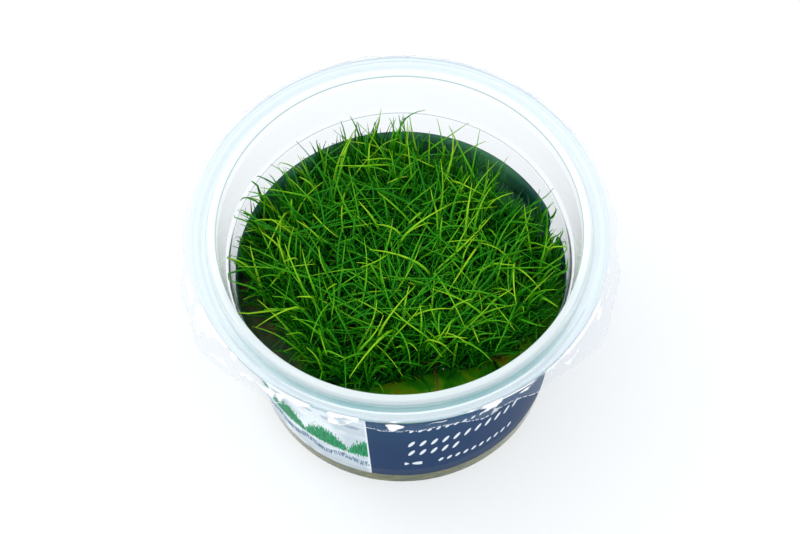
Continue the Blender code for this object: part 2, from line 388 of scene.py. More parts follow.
def fine_relief_group() -> bpy.types.NodeTree:
    """Build the shared relief: fine unevenness of a moulded, printed or grown surface.

    Returns:
        The group, with its place, scale, strength and distance going in and a normal coming out.
    """
    tree = bpy.data.node_groups.new("fine_relief", "ShaderNodeTree")
    kinds = {"Place": "Vector", "Scale": "Float", "Strength": "Float", "Distance": "Float"}
    for name, kind in kinds.items():
        tree.interface.new_socket(name, in_out="INPUT", socket_type=f"NodeSocket{kind}")
    tree.interface.new_socket("Normal", in_out="OUTPUT", socket_type="NodeSocketVector")
    sockets = add_node(tree, "NodeGroupInput", {}).outputs
    place, scale, strength, distance = (Field(sockets[name]) for name in kinds)
    height = Nodes(tree).noise(scale, 3.0, place)
    inputs = {"Height": height, "Strength": strength, "Distance": distance}
    add_node(tree, "NodeGroupOutput", {"Normal": Nodes(tree).source("ShaderNodeBump", 0, inputs)})
    return tree


FINE_RELIEF = fine_relief_group()


@dataclass(frozen=True)
class Finish:
    """What every finish has; relief holds the scale, strength and depth of the shared relief."""

    name: str
    roughness: float = 0.5
    gloss: float = 0.5
    clearness: float = 0.0
    ior: float = 1.5
    glow: float = 0.0
    glow_colour: Colour = (1.0, 1.0, 1.0, 1.0)
    relief: tuple[float, float, float] | None = None

    def colour(self, nodes: Nodes) -> Field:
        """Return the colour over the surface, which each finish has of its own."""
        raise NotImplementedError

    def fields(self, nodes: Nodes) -> dict[str, Field]:
        """Return what the shader's sockets take that changes over the surface."""
        return {"Base Color": self.colour(nodes)}

    def material(self) -> bpy.types.Material:
        """Build the finish, with the values that don't change on the shader's own sockets.

        Returns:
            The material.
        """
        material = bpy.data.materials.new(self.name)
        material.use_nodes = True
        nodes = Nodes(material.node_tree)
        values = {
            "Roughness": self.roughness,
            "Specular IOR Level": self.gloss,
            "Transmission Weight": self.clearness,
            "IOR": self.ior,
            "Emission Strength": self.glow,
            "Emission Color": self.glow_colour,
            **self.fields(nodes),
        }
        if self.relief:
            sizes = dict(zip(("Scale", "Strength", "Distance"), self.relief))
            inputs = {"Place": nodes.here(), **sizes}
            values["Normal"] = nodes.source(
                "ShaderNodeGroup", "Normal", inputs, node_tree=FINE_RELIEF
            )
        shader = material.node_tree.nodes["Principled BSDF"]
        for socket, value in values.items():
            feed(shader.inputs[socket], value)
        return material


@dataclass(frozen=True)
class ClearPlastic(Finish):
    """Clear moulded plastic, faintly milky, with flow lines and a little unevenness."""

    roughness: float = 0.02
    gloss: float = 0.25
    clearness: float = 0.97
    ior: float = 1.25
    relief: tuple[float, float, float] = (70.0, 0.25, 0.1 * MM)
    tint: Colour = linear(253, 254, 255)
    darkest: float = 0.98
    uneven: float = 0.03

    def colour(self, nodes: Nodes) -> Field:
        """Return the tint, in clouds that are slightly darker."""
        darker = (*(part * self.darkest for part in self.tint[:3]), 1.0)
        return nodes.noise(90.0, 3.0).mix(self.tint, darker)

    def fields(self, nodes: Nodes) -> dict[str, Field]:
        """Return the colour, and the roughness with its unevenness."""
        uneven = nodes.noise(60.0) * self.uneven + self.roughness
        return {"Base Color": self.colour(nodes), "Roughness": uneven}


@dataclass(frozen=True)
class RimPlastic(ClearPlastic):
    """The rim's thicker, milkier plastic, with painted shade: low in its groove, at the front, it
    takes a cooler, darker tint.
    """

    # painted shade: the cooler, darker tint low in the groove at the front
    deep: Colour = linear(152, 202, 208)
    groove_heights: tuple[float, float] = (64.9 * MM, 66.2 * MM)
    shaded_front_span: tuple[float, float] = (-48.0 * MM, -20.0 * MM)
    cloudiness: float = 0.35

    def colour(self, nodes: Nodes) -> Field:
        """Return the pale tint with painted shade, a cooler and darker tint low in the groove at
        the front, broken up in clouds.

        Args:
            nodes: The material's nodes.

        Returns:
            The colour.
        """
        _, across, height = nodes.parts(nodes.here())
        # painted shade: tinted only low in the groove, at the front, in clouds
        low = 1.0 - height.step(*self.groove_heights)
        front = 1.0 - across.step(*self.shaded_front_span)
        cloud = 1.0 - nodes.noise(55.0, 2.0).step(0.30, 0.75) * self.cloudiness
        return (low * front * cloud).mix(super().colour(nodes), self.deep)


@dataclass(frozen=True)
class ClearFilm(Finish):
    """Thin clear film with painted highlights: soft white creases where it bunches, a white stripe
    along its roll and a white toothed edge.

    Its patterns read the skirt's map, in cells round the tub and down the skirt. A range is
    where a mask starts to rise and where it is full.
    """

    name: str = "clear_film"
    roughness: float = 0.22
    gloss: float = 0.3
    # the white of the painted highlights
    white: Colour = linear(254, 254, 255)
    shade: Colour = linear(176, 194, 216)
    alphas: tuple[float, float] = (0.06, 0.94)
    fold_cells: tuple[float, float] = (44.0, 2.2)
    fine_cells: tuple[float, float] = (260.0, 7.0)
    tooth_cells: tuple[float, float] = (520.0, 1.0)
    fold_share: float = 0.90
    gather_pull: float = 0.34
    crease_range: tuple[float, float] = (0.50, 0.56)
    hanging_range: tuple[float, float] = (0.38, 0.46)
    ragged_range: tuple[float, float] = (1.36, 1.46)
    tooth_range: tuple[float, float] = (0.42, 0.50)
    edge_range: tuple[float, float] = (0.965, 0.985)
    edge_highlight_white: float = 0.6
    roll_at: float = 0.50
    roll_waver: float = 0.12
    roll_range: tuple[float, float] = (0.01, 0.035)
    roll_highlight_white: float = 0.9

    def cells(
        self,
        nodes: Nodes,
        counts: tuple[float, float],
        detail: float,
        roughness: float = 0.5,
        distortion: float = 0.0,
    ) -> Field:
        """Return a noise in cells on the skirt's map."""
        place = nodes.scaled(nodes.uv("skirt"), *counts)
        return nodes.noise(1.0, detail, place, roughness, distortion)

    def fields(self, nodes: Nodes) -> dict[str, Field]:
        """Draw the painted highlights: the white creases, the white toothed edge and the white
        stripe along the roll.

        Args:
            nodes: The material's nodes.

        Returns:
            What the colour, the alpha and the normal take.
        """
        down = nodes.parts(nodes.uv("skirt"))[1]
        folds = self.cells(nodes, self.fold_cells, 1.5, 0.45, 0.6)
        fine = self.cells(nodes, self.fine_cells, 3.0, 0.6, 1.2)
        pattern = folds * self.fold_share + fine * (1.0 - self.fold_share)
        pull = (nodes.attribute("gathered") - 0.5) * self.gather_pull
        ragged = 1.0 - (down + folds).step(*self.ragged_range)
        crease_highlight = (pattern + pull).step(*self.crease_range) * ragged
        crease_highlight = crease_highlight * down.step(*self.hanging_range)
        teeth = self.cells(nodes, self.tooth_cells, 0.0).step(*self.tooth_range)
        edge = down.step(*self.edge_range) * teeth
        waver = folds * self.roll_waver - abs(down - self.roll_at)
        streak = waver.step(*self.roll_range) * nodes.attribute("rolled").step(0.35, 0.75)
        # painted highlights: the white creases, the white stripe along the roll and the white
        # toothed edge, nearly opaque
        mask = crease_highlight.most(streak * self.roll_highlight_white).most(edge * self.edge_highlight_white)
        clear, creased = self.alphas
        crinkle = {"Height": fine, "Strength": 0.5, "Distance": 0.4 * MM}
        return {
            "Base Color": mask.step(0.0, 0.4).mix(self.shade, self.white),
            "Alpha": mask * (creased - clear) + clear,
            "Normal": nodes.source("ShaderNodeBump", 0, crinkle),
        }


@dataclass(frozen=True)
class MarkRow:
    """A row of slanting oval marks on the label, in millimetres."""

    start: float
    end: float
    height: float
    pitch: float
    half_width: float
    half_height: float
    slant: float = 0.35

    def mask(self, u: Field, v: Field) -> Field:
        """Draw the marks.

        Args:
            u, v: Places along and up the label, in millimetres.

        Returns:
            The mask.
        """
        up = v - self.height
        share = ((u - up * self.slant) / self.pitch).math("FRACT")
        across = abs((share - 0.5) * (self.pitch / self.half_width)) ** 2.0
        upward = abs(up / self.half_height) ** 2.0
        oval = 1.0 - (across + upward).step(0.72, 1.18)
        return oval * ((u > self.start) * (u < self.end))


@dataclass(frozen=True)
class LabelPrint(Finish):
    """The label's printed face: a navy panel with pale marks, and a pale panel with tufts.

    Lengths are in millimetres. The panels' sides are shares of the label's length. A row of
    marks gives its start, its end, its height as a share of the label's, and MarkRow's rest.
    """

    name: str = "label_print"
    roughness: float = 0.40
    gloss: float = 0.04
    relief: tuple[float, float, float] = (450.0, 0.15, 0.05 * MM)
    length: float = 260.0
    height: float = 38.0
    navy: Colour = linear(0, 48, 90)
    navy_top: Colour = linear(14, 60, 98)
    pale: Colour = linear(196, 208, 216)
    leaf_dark: Colour = linear(0, 100, 60)
    leaf_light: Colour = linear(24, 158, 100)
    slate: Colour = linear(82, 112, 140)
    white: Colour = linear(232, 240, 245)
    panel_left: float = 0.44
    panel_right: float = 0.667
    seam_line: tuple[float, float] = (0.10, 0.30)
    marks_by_seam: tuple[tuple[float, ...], ...] = (
        (11.0, 34.0, 0.86, 2.3, 0.50, 0.80),
        (10.0, 43.0, 0.62, 3.0, 0.62, 1.90),
        (10.0, 25.0, 0.45, 3.0, 0.62, 1.90),
        (18.0, 42.0, 0.24, 2.4, 0.62, 1.10),
        (9.6, 14.4, 0.24, 4.8, 2.00, 1.10, 0.0),
    )
    marks_behind: tuple[tuple[float, ...], ...] = (
        (26.0, 74.0, 0.78, 1.9, 0.42, 0.70),
        (26.0, 66.0, 0.68, 1.9, 0.42, 0.70),
        (26.0, 70.0, 0.58, 1.9, 0.42, 0.70),
        (26.0, 44.0, 0.34, 6.0, 2.20, 2.60, 0.0),
    )
    tuft_pitch: float = 0.24
    tuft_height: float = 9.0
    turf_foot: float = 12.0
    turf_top: float = 14.0
    raggedness: float = 18.0
    ripple_pitch: float = 0.55
    ripple_depth: float = 1.1
    ripple_height: float = 7.5

    def colour(self, nodes: Nodes) -> Field:
        """Return the print: both panels, with a white line at the seam.

        Args:
            nodes: The material's nodes.

        Returns:
            The colour.
        """
        along, upward, _ = nodes.parts(nodes.uv("print"))
        u, v = along * self.length, upward * self.height
        picture = (along > self.panel_left) * (along < self.panel_right)
        printed = picture.mix(self.navy_panel(u, v), self.pale_panel(nodes, u, v))
        line = 1.0 - abs(u - self.panel_right * self.length).step(*self.seam_line)
        return line.mix(printed, self.white)

    def navy_panel(self, u: Field, v: Field) -> Field:
        """Return the navy panel: rows of pale marks on a ground that is lighter at the top.

        Args:
            u, v: Places along and up the label, in millimetres.

        Returns:
            The colour.
        """
        ground = v.step(0.4 * self.height, self.height).mix(self.navy, self.navy_top)
        marks = None
        for origin, rows in (
            (self.panel_right * self.length, self.marks_by_seam),
            (0.0, self.marks_behind),
        ):
            for start, end, height, *rest in rows:
                row = MarkRow(origin + start, origin + end, height * self.height, *rest)
                mask = row.mask(u, v)
                marks = marks.most(mask) if marks else mask
        return (marks * 0.92).mix(ground, self.white)

    def pale_panel(self, nodes: Nodes, u: Field, v: Field) -> Field:
        """Return the pale panel: plain tufts of green over a slate ripple.

        Args:
            nodes: The material's nodes.
            u, v: Places along and up the label, in millimetres.

        Returns:
            The colour.
        """
        flat = nodes.source("ShaderNodeCombineXYZ", 0, {0: u, 1: v})
        ground = nodes.noise(0.09, 2.0, flat).step(0.4, 0.6).mix(self.pale, self.white)
        strokes = nodes.noise(1.0, 3.0, nodes.scaled(flat, 2.6, 0.25))
        ragged = (strokes - 0.5) * self.raggedness
        hills = abs((u * self.tuft_pitch).math("SINE")) ** 0.7 * self.tuft_height
        turf = (v < hills + self.turf_top + ragged) * (v > self.turf_foot - ragged * 0.4)
        greens = strokes.ramp(((0.38, self.leaf_dark), (0.62, self.leaf_light)))
        ripple = (u * self.ripple_pitch).math("SINE") * self.ripple_depth
        water = 1.0 - abs(v + ripple - self.ripple_height).step(1.2, 2.2)
        rippled = water * strokes.step(0.40, 0.55)
        picture = rippled.mix(turf.mix(ground, greens), self.slate)
        marks = MarkRow(0.0, self.length, 0.83 * self.height, 6.5, 2.2, 1.1, 0.0).mask(u, v)
        return (marks * 0.45).mix(picture, self.slate)


@dataclass(frozen=True)
class LabelBack(Finish):
    """The label's back, dark teal where it shows through the tub's wall."""

    name: str = "label_back"
    roughness: float = 0.45
    relief: tuple[float, float, float] = (160.0, 0.3, 0.1 * MM)
    dark: Colour = linear(34, 112, 100)
    light: Colour = linear(98, 184, 132)

    def colour(self, nodes: Nodes) -> Field:
        """Return dark teal with lighter patches."""
        return nodes.noise(38.0, 2.0).step(0.38, 0.64).mix(self.dark, self.light)


@dataclass(frozen=True)
class OliveGel(Finish):
    """Wet growing gel: cloudy olive below, and dark green with drowned leaves at its top."""

    name: str = "olive_gel"
    roughness: float = 0.28
    gloss: float = 0.08
    relief: tuple[float, float, float] = (120.0, 0.35, 0.5 * MM)
    body: Stops = (
        (0.30, linear(14, 44, 0)),
        (0.44, linear(52, 80, 0)),
        (0.54, linear(104, 110, 4)),
        (0.64, linear(160, 140, 36)),
        (0.74, linear(104, 50, 8)),
    )
    top: Stops = (
        (0.32, linear(14, 92, 10)),
        (0.46, linear(44, 128, 10)),
        (0.58, linear(90, 152, 16)),
        (0.68, linear(124, 130, 22)),
        (0.78, linear(124, 76, 24)),
    )
    teal: Stops = (
        (0.30, linear(16, 46, 60)),
        (0.48, linear(10, 84, 54)),
        (0.66, linear(60, 128, 74)),
    )
    silt: Stops = (
        (0.32, linear(50, 68, 62)),
        (0.50, linear(66, 90, 56)),
        (0.68, linear(118, 88, 60)),
    )
    top_heights: tuple[float, float] = (30.0 * MM, 34.0 * MM)
    silt_reach: tuple[float, float] = (22.0 * MM, 30.0 * MM)
    teal_reach: tuple[float, float] = (0.0, 14.0 * MM)
    wander: float = 20.0 * MM

    def colour(self, nodes: Nodes) -> Field:
        """Return the gel: its body, and a top that is silted at the left and teal at the back.

        Args:
            nodes: The material's nodes.

        Returns:
            The colour.
        """
        here = nodes.here()
        across, along, height = nodes.parts(here)
        matter = nodes.noise(330.0, 6.0, nodes.scaled(here, 1.0, 1.0, 2.6), 0.72, 0.5)
        leaves = nodes.noise(170.0, 3.0, None, 0.5, 0.7)
        wander = (nodes.noise(60.0) - 0.5) * self.wander
        left = (wander - across).step(*self.silt_reach)
        back = (along + wander).step(*self.teal_reach)
        top = left.mix(leaves.ramp(self.top), leaves.ramp(self.silt))
        top = back.mix(top, leaves.ramp(self.teal))
        return height.step(*self.top_heights).mix(matter.ramp(self.body), top)


@dataclass(frozen=True)
class BladeGreen(Finish):
    """Living blade: its green goes by each blade's tint and along its length."""

    name: str = "blade_green"
    roughness: float = 0.42
    gloss: float = 0.14
    relief: tuple[float, float, float] = (2500.0, 0.2, 0.03 * MM)
    greens: Stops = (
        (0.0, linear(0, 66, 4)),
        (0.25, linear(8, 98, 0)),
        (0.50, linear(36, 134, 0)),
        (0.75, linear(82, 168, 4)),
        (1.0, linear(150, 206, 30)),
    )
    tip_light: float = 0.42
    mottle: float = 0.25

    def colour(self, nodes: Nodes) -> Field:
        """Return the green, mottled and lighter towards the tip."""
        lighter = (nodes.attribute("rise") - 0.5) * self.tip_light
        mottle = (nodes.noise(900.0, 2.0) - 0.5) * self.mottle
        return (nodes.attribute("tint") + lighter + mottle).ramp(self.greens)


@dataclass(frozen=True)
class Thatch(Finish):
    """The dark tangle below the blades: deep green with brown old bits."""

    name: str = "thatch"
    roughness: float = 0.6
    gloss: float = 0.1
    relief: tuple[float, float, float] = (500.0, 0.8, 0.6 * MM)
    greens: Stops = ((0.35, linear(0, 44, 12)), (0.65, linear(10, 92, 8)))
    brown: Colour = linear(72, 44, 14)

    def colour(self, nodes: Nodes) -> Field:
        """Return the strands' greens with patches of brown."""
        strands = nodes.noise(420.0, 4.0, None, 0.7, 2.0)
        return nodes.noise(95.0, 2.0).step(0.62, 0.72).mix(strands.ramp(self.greens), self.brown)


@dataclass(frozen=True, kw_only=True)
class Mottled(Finish):
    """A plain finish of two close tints, for old blades, beads and the floor."""

    light: Colour
    dark: Colour
    scale: float = 700.0

    def colour(self, nodes: Nodes) -> Field:
        """Return the two tints, mottled."""
        return nodes.noise(self.scale).mix(self.light, self.dark)


def rounded(
    points: Sequence[tuple[float, float]], radius: float, steps: int = 4
) -> list[tuple[float, float]]:
    """Round the corners of a section.

    Args:
        points: The section's corners.
        radius: How far from each corner its curve starts, at most.
        steps: How many stretches each curve has.

    Returns:
        The section with a curve at each inner corner.
    """
    result = [points[0]]
    corners = [Vector(point) for point in points]
    for before, corner, after in zip(corners, corners[1:], corners[2:]):
        back, ahead = before - corner, after - corner
        reach = min(radius, MOST_ROUNDED * back.length, MOST_ROUNDED * ahead.length)
        start = corner + back.normalized() * reach
        end = corner + ahead.normalized() * reach
        for index in range(steps + 1):
            t = index / steps
            place = start * (1 - t) ** 2 + corner * (2 * t * (1 - t)) + end * t**2
            result.append(tuple(place))
    return [*result, points[-1]]


@dataclass
class ClearTub:
    """The tub: a tapering wall, a stacking ledge, and a lip with a groove and a collar."""

    height: float
    collar: float
    wall: float = 0.8 * MM
    floor: float = 0.6 * MM
    base_radius: float = 39.0 * MM
    slope: float = 0.0827
    ledge: float = 53.4 * MM
    ledge_step: float = 1.1 * MM
    lip_inner: float = 45.2 * MM
    lip_outer: float = 47.5 * MM
    groove_depth: float = 2.2 * MM
    groove_width: float = 1.4 * MM
    collar_drop: float = 0.8 * MM
    collar_skirt: float = 1.8 * MM
    steps: int = 168
    fillet: float = 0.45 * MM
    wall_finish: ClearPlastic = ClearPlastic("tub_wall", clearness=0.985, gloss=0.1)
    rim_finish: RimPlastic = RimPlastic(
        "tub_rim", tint=linear(240, 248, 250), clearness=0.24, roughness=0.12, gloss=0.5
    )
    collar_finish: RimPlastic = RimPlastic(
        "tub_collar", tint=linear(238, 248, 251), clearness=0.34, roughness=0.12, gloss=0.5
    )
    # painted shade: the ledge and the lip's inner edge are tinted grey so that they show as darker
    # lines
    edge_shade_finish: ClearPlastic = ClearPlastic(
        "tub_edge", tint=linear(176, 196, 200), clearness=0.35, roughness=0.2
    )
    base_edge: tuple[float, float] = (0.45 * MM, 0.6 * MM)

    def outer(self, z: float) -> float:
        """Return the outer wall's radius below the ledge."""
        return self.base_radius + self.slope * z

    def inner(self, z: float) -> float:
        """Return the inner wall's radius, with the wider part above the ledge."""
        step = self.ledge_step if z > self.ledge + self.wall else 0.0
        return self.outer(z) - self.wall + step

    def section(self) -> list[tuple[float, float]]:
        """Lay out the section from the inside floor, over the rim, to the bottom.

        Returns:
            The corners' radii and heights.
        """
        top, ledge = self.height, self.ledge
        groove_floor = top - self.groove_depth
        groove_end = self.lip_outer + self.groove_width
        collar_top = top - self.collar_drop
        skirt_end = collar_top - self.collar_skirt
        under = groove_floor - self.wall
        base_inset, base_rise = self.base_edge
        return [
            (0.0, self.floor),
            (self.inner(self.floor), self.floor),
            (self.inner(ledge), ledge),
            (self.inner(ledge) + self.ledge_step, ledge + 0.7 * MM),
            (self.lip_inner, top - 0.5 * MM),
            (self.lip_inner + 0.7 * MM, top),
            (self.lip_outer - 0.4 * MM, top),
            (self.lip_outer, top - 0.9 * MM),
            (self.lip_outer + 0.4 * MM, groove_floor),
            (groove_end, groove_floor - 0.1 * MM),
            (groove_end + 0.9 * MM, collar_top),
            (self.collar, collar_top - 0.1 * MM),
            (self.collar, skirt_end),
            (self.collar - self.wall, skirt_end),
            (self.collar - self.wall, collar_top - 1.0 * MM),
            (groove_end + 1.1 * MM, collar_top - 1.1 * MM),
            (groove_end + 0.3 * MM, under),
            (self.lip_outer - 0.3 * MM, under - 0.1 * MM),
            (self.lip_inner + 0.6 * MM, under - 0.9 * MM),
            (self.outer(ledge) + self.ledge_step, ledge - 0.1 * MM),
            (self.outer(ledge - 1.2 * MM), ledge - 1.2 * MM),
            (self.outer(base_rise), base_rise),
            (self.base_radius - base_inset, 0.0),
            (0.0, 0.0),
        ]

    def zone_at(self, place: Vector, upward: float) -> TubZone:
        """Tell which zone a face belongs to.

        Args:
            place: The face's middle.
            upward: How far the face looks up, from -1 to 1.

        Returns:
            The zone.
        """
        radius = math.hypot(place.x, place.y)
        inside = radius < self.inner(self.ledge) + 0.15 * MM
        on_ledge = inside and abs(place.z - self.ledge) < 0.11 * MM
        by_lip = abs(radius - self.lip_inner) < 0.12 * MM
        if on_ledge or (by_lip and abs(place.z - (self.height - 0.5 * MM)) < 0.2 * MM):
            return TubZone.THIN_EDGE
        rim_bottom = self.height - self.groove_depth - self.wall - 1.2 * MM
        inner_slope = radius < self.lip_inner + 0.5 * MM and upward < 0.5
        if place.z < rim_bottom or inner_slope or upward < -0.3:
            return TubZone.WALL
        return TubZone.LIP if radius < self.lip_outer + 0.1 * MM else TubZone.OUTER_RIM

    def build(self) -> None:
        """Spin the rounded section round the axis and give each zone its finish."""
        bm = spun(rounded(self.section(), self.fillet), self.steps)
        bmesh.ops.remove_doubles(bm, verts=bm.verts, dist=MERGE)
        bmesh.ops.recalc_face_normals(bm, faces=bm.faces)
        for face in bm.faces:
            face.material_index = self.zone_at(face.calc_center_median(), face.normal.z)
        finishes = {
            TubZone.WALL: self.wall_finish,
            TubZone.LIP: self.rim_finish,
            TubZone.THIN_EDGE: self.edge_shade_finish,
            TubZone.OUTER_RIM: self.collar_finish,
        }
        materials = [finishes[zone].material() for zone in TubZone]
        keep_piece(object_from_bmesh(bm, "clear_tub", *materials), Slot.CLEAR_PLASTIC, "tub")


@dataclass
class WrapLabel:
    """The label round the tub; its ends stand on either side of a narrow gap."""

    tub: ClearTub
    bottom: float
    top: float
    bite: float = 0.05 * MM
    thickness: float = 0.20 * MM
    corner: float = 4.0 * MM
    start: float = math.radians(20.5)
    end: float = math.radians(374.5)
    columns: int = 240
    corner_columns: int = 10
    rows: int = 8
    front: LabelPrint = LabelPrint()
    back: LabelBack = LabelBack()

    def column_shares(self, length: float) -> list[float]:
        """Return the columns' places along the label, closer at its round corners.

        Args:
            length: The label's length.

        Returns:
            The places, from 0 to 1.
        """
        corner = self.corner / length
        ends = [corner * step / self.corner_columns for step in range(self.corner_columns)]
        middle = self.columns - 2 * self.corner_columns
        between = [corner + (1 - 2 * corner) * step / middle for step in range(middle + 1)]
        return ends + between + [1.0 - end for end in reversed(ends)]

    def build(self) -> None:
        """Bend a grid with round corners round the wall, and print it."""
        turn = self.end - self.start
        length = turn * self.tub.outer(self.top)
        shares = self.column_shares(length)
        height = self.top - self.bottom
        bm = bmesh.new()
        bmesh.ops.create_grid(bm, x_segments=self.columns, y_segments=self.rows, size=0.5)
        uv_layer = bm.loops.layers.uv.new("print")
        for vert in bm.verts:
            share = shares[round((vert.co.x + 0.5) * self.columns)]
            inset = max(0.0, self.corner - min(share, 1.0 - share) * length)
            cut = self.corner - math.sqrt(self.corner**2 - inset**2)
            z = (self.bottom + self.top) / 2 + 2.0 * vert.co.y * (height / 2 - cut)
            vert.co = on_circle(self.tub.outer(z) - self.bite, self.start + turn * share, z)
        bmesh.ops.recalc_face_normals(bm, faces=bm.faces)
        first = next(iter(bm.faces))
        if first.normal.dot(first.calc_center_median() * Vector((1.0, 1.0, 0.0))) < 0.0:
            bmesh.ops.reverse_faces(bm, faces=bm.faces)
        for face in bm.faces:
            middle = self.share_of(face.calc_center_median())
            for loop in face.loops:
                share = self.share_of(loop.vert.co)
                up = (loop.vert.co.z - self.bottom) / height
                loop[uv_layer].uv = (share + round(middle - share), up)
        front = replace(self.front, length=length / MM, height=height / MM)
        label = object_from_bmesh(
            bm, "printed_wrap_label", front.material(), self.back.material()
        )
        solid = add_thickness(label, self.thickness, 1.0)
        solid.material_offset = 1
        solid.material_offset_rim = 0
        keep_piece(label, Slot.PRINTED_LABEL, "wrap_label")

    def share_of(self, place: Vector) -> float:
        """Tell how far along the label a place is.

        Args:
            place: The place.

        Returns:
            The share, from 0 to 1.
        """
        angle = math.atan2(place.y, place.x)
        while angle < self.start - 0.02:
            angle += FULL_TURN
        return (angle - self.start) / (self.end - self.start)


@dataclass
class SealFilm:
    """The film's skirt: bonded to the collar's top, it hangs in pleats and flares at two sides."""

    tub: ClearTub
    low: Vector
    high: Vector
    gap: float = 0.3 * MM
    inner_radius: float = 49.9 * MM
    edge_radius: float = 53.4 * MM
    edge_drop: float = 2.6 * MM
    flare: float = 3.2 * MM
    flare_drop: float = 2.6 * MM
    free_from: float = 0.42
    free_power: float = 1.3
    pleats: int = 19
    pleat_depth: float = 0.6 * MM
    crinkle: float = 0.35 * MM
    serration: float = 0.25 * MM
    steps: int = 480
    rows: int = 22
    thickness: float = 0.05 * MM
    flares: Bumps = ((-31.0, 17.0, 1.0), (-150.0, 17.0, 1.0))
    # where the white creases of the painted highlights are strongest
    gather_highlights: Bumps = (
        (-150.0, 22.0, 0.70),
        (-122.0, 12.0, 0.72),
        (-107.0, 5.0, 0.95),
        (-93.5, 3.5, 0.92),
        (-66.0, 4.0, 0.80),
        (-44.0, 4.0, 0.62),
    )
    # where the white stripe of the painted highlight runs along the film's roll
    roll_highlights: Bumps = ((-36.0, 17.0, 1.0), (-60.0, 9.0, 0.8))
    finish: ClearFilm = ClearFilm()

    @staticmethod
    def strength_at(angle: float, places: Bumps, least: float = 0.0) -> float:
        """Tell how strongly the film flares, or how strongly its painted highlights show, at an
        angle.

        Args:
            angle: The angle.
            places: The angle, spread and strength of each flare or painted highlight, in degrees.
            least: The strength away from them.

        Returns:
            The strength, from 0 to 1.
        """
        degrees = math.degrees(angle)
        bumps = (most * bump(degrees, centre, spread) for centre, spread, most in places)
        return max(least, *bumps)

    def section(self) -> list[tuple[float, float]]:
        """Lay out the skirt's section, from the collar's top over its edge and down.

        Returns:
            The corners' radii and heights.
        """
        top = self.tub.height - self.tub.collar_drop + self.gap
        clear = self.tub.collar + self.gap + 0.2 * MM
        return [
            (self.inner_radius, top),
            (self.tub.collar - 0.5 * MM, top + 0.05 * MM),
            (clear, top - 0.6 * MM),
            (clear + 0.4 * (self.edge_radius - clear), top - 0.55 * self.edge_drop),
            (self.edge_radius, top - self.edge_drop),
        ]

    def place(self, angle: float, share: float) -> Vector:
        """Return a point of the skirt.

        Args:
            angle: Its angle round the tub.
            share: How far down the skirt it is, from 0 to 1.

        Returns:
            The point.
        """
        rows = self.section()
        at = share * (len(rows) - 1)
        index = min(int(at), len(rows) - 2)
        part = at - index
        radius = rows[index][0] * (1 - part) + rows[index + 1][0] * part
        z = rows[index][1] * (1 - part) + rows[index + 1][1] * part
        free = max(0.0, (share - self.free_from) / (1.0 - self.free_from))
        hanging = free**self.free_power
        pleat = 0.65 * math.sin(self.pleats * angle)
        pleat += 0.35 * math.sin((self.pleats + 7) * angle + 1.3)
        flare = self.strength_at(angle, self.flares)
        rough = noise.noise(on_circle(26.0, angle, share * 2.5))
        fine = noise.noise(on_circle(70.0, angle, share * 5.0))
        outward = hanging * (self.flare * flare + self.pleat_depth * pleat)
        outward += free * self.crinkle * (rough + 0.5 * fine)
        tooth = (angle * 110.0 / math.pi) % 1.0 if share > 0.999 else 0.0
        down = hanging * self.flare_drop * flare + self.serration * tooth * free
        point = on_circle(radius + outward, angle, z - down)
        for axis in range(2):
            low, high = self.low[axis] + self.thickness, self.high[axis] - self.thickness
            point[axis] = min(max(point[axis], low), high)
        return point

    def build(self) -> None:
        """Shape a fine ring of quads into the skirt."""
        bm = spun([(1.0 + row, 0.0) for row in range(self.rows + 1)], self.steps)
        uv_layer = bm.loops.layers.uv.new("skirt")
        gathered = bm.verts.layers.float.new("gathered")
        rolled = bm.verts.layers.float.new("rolled")
        shares = {}
        for vert in bm.verts:
            angle = math.atan2(vert.co.y, vert.co.x)
            share = (math.hypot(vert.co.x, vert.co.y) - 1.0) / self.rows
            shares[vert] = (angle / FULL_TURN, share)
            vert[gathered] = self.strength_at(angle, self.gather_highlights, 0.2)
            vert[rolled] = self.strength_at(angle, self.roll_highlights)
            vert.co = self.place(angle, min(1.0, max(0.0, share)))
        for face in bm.faces:
            turns = [shares[loop.vert][0] for loop in face.loops]
            for loop in face.loops:
                turn, share = shares[loop.vert]
                if max(turns) - min(turns) > 0.5 and turn < 0.0:
                    turn += 1.0
                loop[uv_layer].uv = (turn, share)
        bmesh.ops.recalc_face_normals(bm, faces=bm.faces)
        film = object_from_bmesh(bm, "crinkled_seal_film", self.finish.material())
        add_thickness(film, self.thickness, 0.0)
        keep_piece(film, Slot.CLEAR_FILM, "seal_film")


